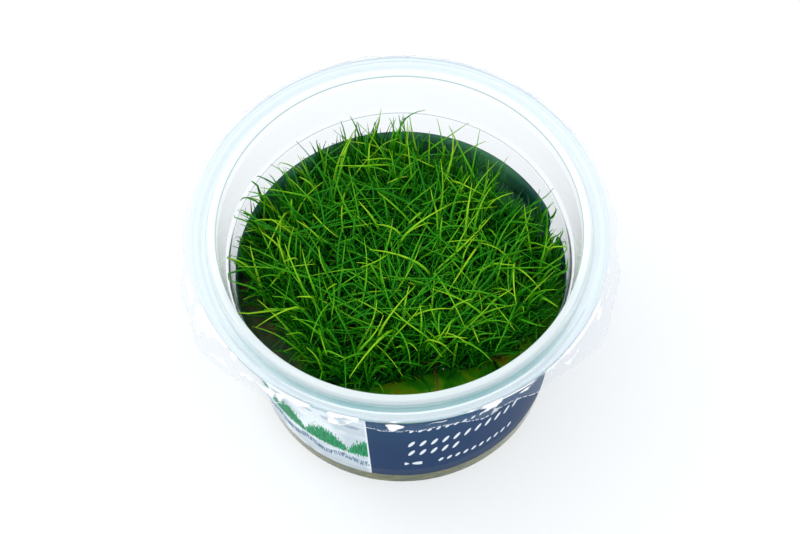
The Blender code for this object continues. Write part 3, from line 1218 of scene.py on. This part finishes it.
@dataclass
class Ground:
    """Heights that the gel, the mat and the blades share."""

    tub: ClearTub
    level: float = 37.0 * MM
    tilt: float = math.radians(3.6)
    towards: float = math.radians(-65.0)
    mat_radius: float = 39.3 * MM
    mat_edge: float = 1.2 * MM
    mat_crown: float = 9.0 * MM
    overhang_most: float = 7.5 * MM
    overhang_less: float = 6.0 * MM
    fan_y: float = -30.0 * MM
    clump_scale: float = 150.0
    bays: Bumps = (
        (-80.0, 38.0, 11.0 * MM),
        (36.0, 18.0, 8.5 * MM),
        (70.0, 16.0, 7.0 * MM),
        (132.0, 10.0, 3.0 * MM),
        (-152.0, 20.0, 7.5 * MM),
    )

    def gel_top(self, x: float | np.ndarray, y: float | np.ndarray) -> float | np.ndarray:
        """Return the height of the gel's slumped top, for numbers or arrays."""
        along = x * math.cos(self.towards) + y * math.sin(self.towards)
        return self.level + math.tan(self.tilt) * along

    def reach(self, angle: np.ndarray) -> np.ndarray:
        """Tell how far out the mat's foot is; each bay sets it back.

        Args:
            angle: The angles.

        Returns:
            The foot's radius at each.
        """
        result = np.full(np.shape(angle), self.mat_radius)
        for centre, spread, depth in self.bays:
            result = result - depth * bump(np.degrees(angle), centre, spread)
        return result

    def overhang(self, angle: np.ndarray) -> np.ndarray:
        """Return how far blades may hang out over the mat's foot, least at the front."""
        front, spread, _ = self.bays[0]
        return self.overhang_most - self.overhang_less * bump(np.degrees(angle), front, spread)

    def clump(self, places: np.ndarray) -> np.ndarray:
        """Return how thickly the plants stand at each place, from 0 in a gap to 1 in a tuft."""
        values = [noise.noise(Vector((x, y, 0.0)) * self.clump_scale) for x, y, _ in places]
        return np.clip(0.5 + 0.9 * np.array(values), 0.0, 1.0)

    def away(self, roots: np.ndarray) -> np.ndarray:
        """Return each root's direction from the point that the blades fan out from."""
        return np.arctan2(roots[:, 1] - self.fan_y, roots[:, 0])

    def mat_top(self, x: np.ndarray, y: np.ndarray) -> np.ndarray:
        """Return the height of the mat's dense part."""
        share = np.minimum(1.0, np.hypot(x, y) / self.reach(np.arctan2(y, x)))
        return self.gel_top(x, y) + self.mat_edge + self.mat_crown * (1.0 - share**2.4)


@dataclass
class GrowingGel:
    """The gel: it fills the tub against the wall, under a sloping wet top that creeps up it."""

    ground: Ground
    sides: int = 96
    rings: int = 30
    ringed_share: float = 0.97
    creep: float = 0.9 * MM
    creep_from: float = 0.94
    ripple: float = 0.4 * MM
    ripple_scale: float = 190.0
    sharp_from: float = math.radians(50.0)
    bite: float = 0.1 * MM
    finish: OliveGel = OliveGel()

    def build(self) -> None:
        """Shape a cylinder with a ringed top into the gel."""
        tub = self.ground.tub
        bottom = tub.floor - self.bite
        bm = bmesh.new()
        bmesh.ops.create_cone(
            bm, cap_ends=True, segments=self.sides, radius1=1.0, radius2=1.0, depth=2.0
        )
        top_face = max(bm.faces, key=lambda face: face.calc_center_median().z)
        for _ in range(self.rings):
            width = self.ringed_share / self.rings
            bmesh.ops.inset_region(bm, faces=[top_face], thickness=width, depth=0.0)
        for vert in bm.verts:
            share = min(1.0, math.hypot(vert.co.x, vert.co.y))
            angle = math.atan2(vert.co.y, vert.co.x)
            if vert.co.z < 0.0:
                vert.co = on_circle((tub.inner(bottom) + self.bite) * share, angle, bottom)
            else:
                vert.co = self.top_point(angle, share)
        bmesh.ops.recalc_face_normals(bm, faces=bm.faces)
        gel = object_from_bmesh(bm, "growing_olive_gel", self.finish.material())
        gel.data.set_sharp_from_angle(angle=self.sharp_from)
        keep_piece(gel, Slot.OLIVE_GEL, "growing_gel")

    def top_point(self, angle: float, share: float) -> Vector:
        """Place a point of the gel's top.

        Args:
            angle: Its angle round the tub.
            share: How far out it is, from 0 to 1.

        Returns:
            The point.
        """
        tub, ground = self.ground.tub, self.ground
        edge = on_circle(tub.inner(ground.level), angle, 0.0)
        radius = (tub.inner(ground.gel_top(edge.x, edge.y)) + self.bite) * share
        point = on_circle(radius, angle, 0.0)
        ripple = noise.noise(point * self.ripple_scale) * self.ripple * (1.0 - share)
        creep = self.creep * (max(0.0, share - self.creep_from) / (1.0 - self.creep_from)) ** 2
        point.z = ground.gel_top(point.x, point.y) + ripple + creep
        return point


@dataclass(frozen=True)
class Habit:
    """How one kind of blade grows, in degrees and millimetres.

    Lean and bend are a mean and a spread; length, radius and tint are a least and a most.
    """

    lean: tuple[float, float]
    bend: tuple[float, float]
    length: tuple[float, float]
    radius: tuple[float, float]
    tint: tuple[float, float]
    swerve: float = 0.35
    outward: float = 0.0
    fan: float = 0.75
    rim_light: float = 0.35
    tint_power: float = 1.5
    turned_back: float = 0.9
    upright_share: float = 0.3
    plant_share: float = 0.7
    most_lean: float = math.radians(118.0)

    def batch(
        self,
        draw: np.random.Generator,
        ground: Ground,
        roots: np.ndarray,
        plant_tint: np.ndarray | None = None,
    ) -> "BladeBatch":
        """Draw one blade for each root; of those that would hang over bare gel, about half are
        turned back and most of the rest stand more upright.

        Args:
            draw: The source of chance.
            ground: The mat's heights and reach.
            roots: The blades' roots.
            plant_tint: The tint of the plant that each blade belongs to, from 0 to 1.

        Returns:
            The blades.
        """
        count = len(roots)
        heading = draw.uniform(-np.pi, np.pi, count)
        away = ground.away(roots) + draw.normal(0.0, self.fan, count)
        heading = np.where(draw.uniform(0.0, 1.0, count) < self.outward, away, heading)
        lean = np.abs(draw.normal(*np.radians(self.lean), count))
        bend = draw.normal(*np.radians(self.bend), count)
        length = draw.uniform(*self.length, count) * MM
        out = length * np.sin(np.clip(lean + 0.5 * bend, 0.0, math.pi / 2))
        towards = np.stack((np.cos(heading), np.sin(heading)), axis=-1)
        tips = roots[:, :2] + towards * out[:, None]
        angle = np.arctan2(tips[:, 1], tips[:, 0])
        over = np.hypot(tips[:, 0], tips[:, 1]) > ground.reach(angle) + ground.overhang(angle)
        chance = draw.uniform(0.0, 1.0, count)
        turned = chance < 0.5 * self.turned_back
        heading = np.where(over & turned, heading + np.pi, heading)
        upright = over & ~turned & (chance < self.turned_back)
        kept_share = np.where(upright, self.upright_share, 1.0)
        lean, bend = kept_share * lean, kept_share * bend
        shade = draw.uniform(0.0, 1.0, count)
        if plant_tint is not None:
            shade = self.plant_share * plant_tint + (1.0 - self.plant_share) * shade
            shade = np.clip(shade, 0.0, 1.0)
        low, high = self.tint
        share = np.hypot(roots[:, 0], roots[:, 1]) / ground.mat_radius
        # painted light: blades rooted nearer the mat's rim get a lighter tint, for the more light
        # that reaches them there
        shade = shade**self.tint_power + self.rim_light * share**5
        return BladeBatch(
            roots=roots,
            heading=heading,
            start_lean=lean,
            end_lean=np.clip(lean + bend, 0.0, self.most_lean),
            length=length,
            radius=draw.uniform(*self.radius, count) * MM,
            swerve=draw.normal(0.0, self.swerve, count),
            tint=low + (high - low) * shade,
        )


@dataclass
class BladeBatch:
    """Blades that are swept in one go; each field has one entry a blade, in metres and radians."""

    roots: np.ndarray
    heading: np.ndarray
    start_lean: np.ndarray
    end_lean: np.ndarray
    length: np.ndarray
    radius: np.ndarray
    swerve: np.ndarray
    tint: np.ndarray
    rings: int = 9
    sides: int = 5
    foot: float = 0.75
    tip: float = 0.28
    tip_power: float = 3.6

    def part(self, chosen: np.ndarray) -> "BladeBatch":
        """Pick out some of the blades.

        Args:
            chosen: Whether each blade is one of them.

        Returns:
            The chosen blades.
        """
        fields = {name: value for name, value in vars(self).items() if np.ndim(value)}
        return replace(self, **{name: value[chosen] for name, value in fields.items()})

    def paths(self) -> np.ndarray:
        """Work out the points that the blades follow.

        Returns:
            The points, as blades by rings by 3.
        """
        spans = self.rings - 1
        middle = (np.arange(spans) + 0.5) / spans
        bend = (self.end_lean - self.start_lean)[:, None] * middle[None, :] ** 1.2
        lean = self.start_lean[:, None] + bend
        turn = self.heading[:, None] + self.swerve[:, None] * middle[None, :]
        flat = np.sin(lean)
        moves = np.stack((flat * np.cos(turn), flat * np.sin(turn), np.cos(lean)), axis=-1)
        points = np.zeros((len(self.length), self.rings, 3))
        points[:, 1:] = np.cumsum(moves * (self.length / spans)[:, None, None], axis=1)
        return points + self.roots[:, None, :]

    def sweep(
        self, limit: Callable[[np.ndarray], np.ndarray]
    ) -> tuple[np.ndarray, np.ndarray, np.ndarray]:
        """Sweep every blade's round section along its path.

        Args:
            limit: Moves points that are out of bounds back in.

        Returns:
            The blades' points, the tint of each, and how far up its blade each is.
        """
        paths = limit(self.paths())
        along = np.gradient(paths, axis=1)
        along /= np.linalg.norm(along, axis=2, keepdims=True) + TINY
        flat = np.zeros(len(self.heading))
        side = np.stack((-np.sin(self.heading), np.cos(self.heading), flat), axis=-1)[:, None, :]
        side = side - along * np.sum(along * side, axis=2, keepdims=True)
        side /= np.linalg.norm(side, axis=2, keepdims=True) + TINY
        other = np.cross(along, side)
        share = np.arange(self.rings) / (self.rings - 1)
        belly = (1.0 - self.foot) * np.sin(np.pi * np.minimum(share * 1.4, 1.0))
        taper = (self.foot + belly) * (1.0 - (1.0 - self.tip) * share**self.tip_power)
        radius = self.radius[:, None] * taper[None, :]
        turn = FULL_TURN * np.arange(self.sides)[:, None] / self.sides
        ring = side[:, :, None, :] * np.cos(turn) + other[:, :, None, :] * np.sin(turn)
        points = paths[:, :, None, :] + ring * radius[:, :, None, None]
        tint = np.repeat(self.tint, self.rings * self.sides)
        rise = np.tile(np.repeat(share, self.sides), len(self.length))
        return points.reshape(-1, 3), tint, rise

    def quads(self) -> np.ndarray:
        """Work out the faces round every blade.

        Returns:
            Their corners, four a face.
        """
        ring, side = np.divmod(np.arange((self.rings - 1) * self.sides), self.sides)
        here = ring * self.sides + side
        ahead = ring * self.sides + (side + 1) % self.sides
        one = np.stack((here, ahead, ahead + self.sides, here + self.sides), axis=-1)
        return (self.starts()[:, None, None] + one[None]).reshape(-1, 4)

    def caps(self) -> np.ndarray:
        """Work out the two end faces of every blade.

        Returns:
            Their corners, one row a face.
        """
        root = np.arange(self.sides)[::-1]
        tip = (self.rings - 1) * self.sides + np.arange(self.sides)
        return (self.starts()[:, None, None] + np.stack((root, tip))[None]).reshape(-1, self.sides)

    def starts(self) -> np.ndarray:
        """Return the place of each blade's first point among all points."""
        return np.arange(len(self.length)) * self.rings * self.sides

    def mesh(self, name: str, limit: Callable[[np.ndarray], np.ndarray]) -> bpy.types.Mesh:
        """Join the blades in one mesh that keeps their tint and rise.

        Args:
            name: The mesh's name.
            limit: Moves points that are out of bounds back in.

        Returns:
            The mesh.
        """
        points, tint, rise = self.sweep(limit)
        quads, caps = self.quads(), self.caps()
        corners = np.concatenate((quads.ravel(), caps.ravel()))
        sizes = np.concatenate((np.full(len(quads), 4), np.full(len(caps), self.sides)))
        mesh = bpy.data.meshes.new(name)
        mesh.vertices.add(len(points))
        mesh.vertices.foreach_set("co", points.astype(np.float32).ravel())
        mesh.loops.add(len(corners))
        mesh.loops.foreach_set("vertex_index", corners.astype(np.int32))
        mesh.polygons.add(len(sizes))
        mesh.polygons.foreach_set("loop_start", (np.cumsum(sizes) - sizes).astype(np.int32))
        mesh.update(calc_edges=True)
        mesh.validate()
        for label, values in (("tint", tint), ("rise", rise)):
            attribute = mesh.attributes.new(label, "FLOAT", "POINT")
            attribute.data.foreach_set("value", values.astype(np.float32))
        mesh.shade_smooth()
        return mesh


@dataclass
class HairgrassMat:
    """The mat: a dark thatch, rosettes, long arching blades, old brown ones and strays.

    Each stray is an angle, how far out it roots, its lean and its length in millimetres.
    """

    ground: Ground
    seed: int = 31
    rosettes: int = 270
    rosette_blades: int = 12
    rosettes_reach: float = 0.98
    rosette_width: float = 0.5 * MM
    clump_tint: float = 0.55
    gap_below: float = 0.29
    long_blades: int = 560
    low_blades: int = 1700
    old_blades: int = 150
    wall_clearance: float = 0.5 * MM
    soft_top: float = 51.0 * MM
    top_give: float = 6.0 * MM
    gel_clearance: float = 0.1 * MM
    stray_radius: float = 0.30 * MM
    lump: float = 1.5 * MM
    lump_scale: float = 160.0
    thatch_inset: float = 1.5 * MM
    thatch_depth: float = 2.6 * MM
    thatch_bite: float = 0.2 * MM
    thatch_least: float = 0.3 * MM
    thatch_shoulder: float = 3.0
    rosette: Habit = Habit(
        lean=(28.0, 18.0),
        bend=(30.0, 26.0),
        length=(10.0, 20.5),
        radius=(0.15, 0.28),
        tint=(0.0, 0.62),
        swerve=0.5,
        outward=0.25,
    )
    long: Habit = Habit(
        lean=(24.0, 15.0),
        bend=(44.0, 28.0),
        length=(20.0, 34.0),
        radius=(0.24, 0.40),
        tint=(0.28, 0.91),
        swerve=0.6,
        outward=0.5,
    )
    low: Habit = Habit(
        lean=(64.0, 10.0),
        bend=(16.0, 14.0),
        length=(8.0, 17.0),
        radius=(0.26, 0.48),
        tint=(0.0, 0.26),
        swerve=0.5,
        outward=0.3,
    )
    old: Habit = Habit(
        lean=(64.0, 14.0),
        bend=(14.0, 16.0),
        length=(4.0, 11.0),
        radius=(0.20, 0.32),
        tint=(0.0, 1.0),
        swerve=0.8,
    )
    strays: tuple[tuple[float, float, float, float], ...] = (
        (150.0, 0.84, 12.0, 20.0),
        (153.0, 0.80, 30.0, 16.0),
        (12.0, 0.78, 40.0, 22.0),
        (8.0, 0.80, 46.0, 20.0),
        (92.0, 0.80, 22.0, 19.0),
        (88.0, 0.78, 12.0, 20.0),
        (104.0, 0.80, 24.0, 17.0),
        (66.0, 0.78, 30.0, 18.0),
        (72.0, 0.76, 22.0, 20.0),
        (121.0, 0.84, 20.0, 18.0),
        (124.0, 0.86, 10.0, 17.0),
        (35.0, 0.72, 30.0, 17.0),
        (140.0, 0.85, 14.0, 18.0),
        (160.0, 0.86, 22.0, 16.0),
        (165.0, 0.88, 32.0, 15.0),
        (172.0, 0.90, 38.0, 13.0),
        (179.0, 0.88, 30.0, 14.0),
        (186.0, 0.86, 34.0, 14.0),
        (222.0, 0.84, 40.0, 12.0),
    )
    finish: BladeGreen = BladeGreen()
    thatch_finish: Thatch = Thatch()
    old_finish: Mottled = Mottled(
        "old_blade", light=linear(122, 84, 30), dark=linear(84, 26, 14), roughness=0.5
    )

    def limit(self, points: np.ndarray) -> np.ndarray:
        """Keep points inside the tub's wall, under the open space and over the gel.

        Args:
            points: The blades' points.

        Returns:
            The points, moved where they were out of bounds.
        """
        tub, ground = self.ground.tub, self.ground
        points = points.copy()
        over = np.maximum(0.0, points[..., 2] - self.soft_top)
        points[..., 2] += over / (1.0 + over / self.top_give) - over
        z = points[..., 2]
        step = np.where(z > tub.ledge, tub.ledge_step, 0.0)
        wall = tub.base_radius + tub.slope * z - tub.wall + step
        radius = np.hypot(points[..., 0], points[..., 1])
        shrink = np.minimum(1.0, (wall - self.wall_clearance) / np.maximum(radius, 1e-6))
        points[..., :2] *= shrink[..., None]
        gel = ground.gel_top(points[..., 0], points[..., 1])
        points[..., 2] = np.maximum(z, gel + self.gel_clearance)
        return points

    def roots(self, angle: np.ndarray, share: np.ndarray, depth: np.ndarray) -> np.ndarray:
        """Place roots in the mat.

        Args:
            angle: Their angles.
            share: How far out they are, from 0 to 1.
            depth: How high in the mat they are, from 0 at the gel to 1 at its top.

        Returns:
            The places, one row each.
        """
        radius = share * self.ground.reach(angle)
        x, y = radius * np.cos(angle), radius * np.sin(angle)
        foot = self.ground.gel_top(x, y)
        return np.stack((x, y, foot + (self.ground.mat_top(x, y) - foot) * depth), axis=-1)

    def scattered(
        self, draw: np.random.Generator, habit: Habit, count: int, depth: tuple[float, float]
    ) -> BladeBatch:
        """Scatter blades of one kind evenly over the mat.

        Args:
            draw: The source of chance.
            habit: How the blades grow.
            count: How many there are.
            depth: How high in the mat their roots are, at least and at most.

        Returns:
            The blades.
        """
        angle = draw.uniform(-np.pi, np.pi, count)
        share = np.sqrt(draw.uniform(0.0, 0.96, count))
        return habit.batch(draw, self.ground, self.roots(angle, share, draw.uniform(*depth, count)))

    def thatch(self) -> None:
        """Shape a sphere into the mat's lumpy dark under-layer."""
        ground = self.ground
        bm = bmesh.new()
        bmesh.ops.create_uvsphere(bm, u_segments=160, v_segments=90, radius=1.0)
        for vert in bm.verts:
            angle = math.atan2(vert.co.y, vert.co.x)
            share = min(1.0, math.hypot(vert.co.x, vert.co.y))
            reach = float(ground.reach(angle)) - self.thatch_inset
            point = on_circle(reach * share, angle, 0.0)
            foot = ground.gel_top(point.x, point.y) - self.thatch_bite
            lump = noise.fractal(point * self.lump_scale, 1.0, 2.0, 4) * self.lump
            top = float(ground.mat_top(point.x, point.y)) - self.thatch_depth + lump
            rise = max(0.0, min(1.0, vert.co.z * self.thatch_shoulder))
            point.z = foot + max(self.thatch_least, top - foot) * rise
            vert.co = point
        bmesh.ops.recalc_face_normals(bm, faces=bm.faces)
        thatch = object_from_bmesh(bm, "hairgrass_thatch", self.thatch_finish.material())
        keep_piece(thatch, Slot.BLADE_GREEN, "hairgrass")

    def rosette_batch(self, draw: np.random.Generator) -> BladeBatch:
        """Draw the rosettes, spread over the mat like seeds on a flower head.

        Args:
            draw: The source of chance.

        Returns:
            Their blades.
        """
        golden = math.pi * (3.0 - math.sqrt(5.0))
        index = np.arange(self.rosettes)
        share = self.rosettes_reach * np.sqrt((index + 0.5) / self.rosettes)
        angle = index * golden + draw.normal(0.0, 0.08, self.rosettes)
        thick = self.ground.clump(self.roots(angle, share, np.zeros(self.rosettes)))
        centres = self.roots(angle, share, 0.15 + 0.85 * thick)
        each = np.repeat(index[thick > self.gap_below], self.rosette_blades)
        spread = draw.normal(0.0, self.rosette_width, (len(each), 3)) * (1.0, 1.0, 0.2)
        own_tint = draw.uniform(0.0, 1.0, self.rosettes)
        plant_tint = (1.0 - self.clump_tint) * own_tint + self.clump_tint * thick
        return self.rosette.batch(draw, self.ground, centres[each] + spread, plant_tint[each])

    def stray_batch(self, draw: np.random.Generator) -> BladeBatch:
        """Draw the single blades that stand out at the rim.

        Args:
            draw: The source of chance.

        Returns:
            The blades.
        """
        angle, share, lean, length = np.array(self.strays).T
        angle, lean, count = np.radians(angle), np.radians(lean), len(angle)
        return BladeBatch(
            roots=self.roots(angle, share, np.full(count, 0.8)),
            heading=angle + draw.normal(0.0, 0.25, count),
            start_lean=lean,
            end_lean=lean + np.radians(draw.uniform(15.0, 60.0, count)),
            length=length * MM,
            radius=np.full(count, self.stray_radius),
            swerve=draw.normal(0.0, 0.3, count),
            tint=draw.uniform(0.7, 1.0, count),
        )

    def build(self) -> None:
        """Build the thatch and every piece of blades."""
        draw = np.random.default_rng(self.seed)
        rosettes = self.rosette_batch(draw)
        back = rosettes.roots[:, 1] > 0.0
        batches = {
            "back_rosette_blades": rosettes.part(back),
            "front_rosette_blades": rosettes.part(~back),
            "long_blades": self.scattered(draw, self.long, self.long_blades, (0.4, 1.0)),
            "low_blades": self.scattered(draw, self.low, self.low_blades, (0.5, 0.95)),
            "old_blades": self.scattered(draw, self.old, self.old_blades, (0.8, 1.05)),
            "stray_blades": self.stray_batch(draw),
        }
        green, old = self.finish.material(), self.old_finish.material()
        self.thatch()
        for name, batch in batches.items():
            mesh = batch.mesh(f"hairgrass_{name}", self.limit)
            mesh.materials.append(old if name == "old_blades" else green)
            blades = bpy.data.objects.new(mesh.name, mesh)
            keep_piece(blades, Slot.BLADE_GREEN, "hairgrass")


@dataclass
class Droplets:
    """Tiny bubbles and water beads among the blades, near white and mostly opaque as painted
    glints.
    """

    ground: Ground
    seed: int = 7
    count: int = 60
    least: float = 0.13 * MM
    most: float = 0.34 * MM
    highest: float = 4.0
    # painted highlight: near-white beads stand in for glints
    finish: Mottled = Mottled(
        "droplet",
        light=linear(240, 248, 236),
        dark=linear(206, 226, 196),
        roughness=0.08,
        clearness=0.35,
    )

    def build(self) -> None:
        """Scatter little round beads over the mat."""
        draw = np.random.default_rng(self.seed)
        bm = bmesh.new()
        for _ in range(self.count):
            angle = draw.uniform(-math.pi, math.pi)
            share = math.sqrt(draw.uniform(0.02, 1.0))
            point = on_circle(float(self.ground.reach(angle)) * share, angle, 0.0)
            rise = draw.uniform(0.0, self.highest) * MM
            point.z = float(self.ground.mat_top(point.x, point.y)) + rise
            radius = draw.uniform(self.least, self.most)
            made = bmesh.ops.create_icosphere(bm, subdivisions=2, radius=radius)
            bmesh.ops.translate(bm, verts=made["verts"], vec=point)
        beads = object_from_bmesh(bm, "water_beads", self.finish.material())
        keep_piece(beads, Slot.BLADE_GREEN, "hairgrass")


@dataclass
class Studio:
    """A pale floor, soft white light, and the camera at the photograph's angle."""

    rim: Vector
    elevation: float = math.radians(59.60)
    roll: float = math.radians(-1.66)
    distance: float = 0.500
    focal_px: float = 2036.0
    rim_px: tuple[float, float] = (399.2, 227.1)
    frame_px: tuple[int, int] = (800, 534)
    sensor: float = 36.0
    floor_size: float = 8.0
    world_strength: float = 1.16
    floor_glow: float = 0.58
    world_colour: Colour = (0.945, 0.975, 1.0, 1.0)
    key_watts: float = 1.5
    key_size: float = 0.6
    key_colour: tuple[float, float, float] = (1.0, 0.985, 0.96)
    key_place: tuple[float, float, float] = (-0.55, 0.25, 0.80)
    key_target: tuple[float, float, float] = (0.0, 0.0, 0.05)
    bounces: int = 12
    clear_bounces: int = 16

    @staticmethod
    def turned_to(direction: Vector) -> Matrix:
        """Return the turn that points a camera or a lamp along a direction."""
        return direction.to_track_quat("-Z", "Y").to_matrix().to_4x4()

    def camera(self) -> None:
        """Make the camera that sees the rim where the photograph shows it."""
        width, height = self.frame_px
        data = bpy.data.cameras.new("camera")
        data.sensor_width = self.sensor
        data.lens = self.focal_px * self.sensor / width
        data.shift_x = (width / 2 - self.rim_px[0]) / width
        data.shift_y = (self.rim_px[1] - height / 2) / width
        back = Vector((0.0, -math.cos(self.elevation), math.sin(self.elevation)))
        camera = bpy.data.objects.new("camera", data)
        turn = self.turned_to(-back) @ Matrix.Rotation(self.roll, 4, "Z")
        camera.matrix_world = Matrix.Translation(self.rim + back * self.distance) @ turn
        bpy.context.scene.collection.objects.link(camera)
        bpy.context.scene.camera = camera

    def floor(self) -> None:
        """Lay the pale floor."""
        bm = bmesh.new()
        bmesh.ops.create_grid(bm, x_segments=8, y_segments=8, size=self.floor_size / 2)
        finish = Mottled(
            "pale_floor",
            light=(0.42, 0.42, 0.42, 1.0),
            dark=(0.45, 0.45, 0.45, 1.0),
            scale=3.0,
            roughness=0.7,
            gloss=0.1,
            glow=self.floor_glow,
            glow_colour=self.world_colour,
            relief=None,
        )
        floor = object_from_bmesh(bm, "studio_floor", finish.material())
        bpy.context.scene.collection.objects.link(floor)

    def lights(self) -> None:
        """Light the scene with a soft white surround and one large soft lamp."""
        world = bpy.data.worlds.new("surround")
        world.use_nodes = True
        background = world.node_tree.nodes["Background"]
        background.inputs["Color"].default_value = self.world_colour
        background.inputs["Strength"].default_value = self.world_strength
        bpy.context.scene.world = world
        lamp = bpy.data.lights.new("key", "AREA")
        lamp.shape = "DISK"
        lamp.size = self.key_size
        lamp.energy = self.key_watts
        lamp.color = self.key_colour
        key = bpy.data.objects.new("key", lamp)
        place = Vector(self.key_place)
        aim = self.turned_to(Vector(self.key_target) - place)
        key.matrix_world = Matrix.Translation(place) @ aim
        bpy.context.scene.collection.objects.link(key)

    def build(self) -> None:
        """Make the whole studio."""
        self.camera()
        self.floor()
        self.lights()
        scene = bpy.context.scene
        scene.view_settings.view_transform = "Standard"
        scene.cycles.max_bounces = self.bounces
        scene.cycles.transmission_bounces = self.bounces
        scene.cycles.transparent_max_bounces = self.clear_bounces


def main() -> None:
    """Build every piece in order and report each."""
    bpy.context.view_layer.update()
    tub_low, tub_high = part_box("tub")
    label_low, label_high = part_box("wrap_label")
    Studio(rim=Vector((0.0, 0.0, tub_high.z))).build()
    tub = ClearTub(height=tub_high.z - tub_low.z, collar=tub_high.x)
    tub.build()
    WrapLabel(tub, bottom=label_low.z + 0.5 * MM, top=label_high.z).build()
    SealFilm(tub, *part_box("seal_film")).build()
    ground = Ground(tub)
    GrowingGel(ground).build()
    HairgrassMat(ground).build()
    Droplets(ground).build()


if __name__ == "__main__":
    main()
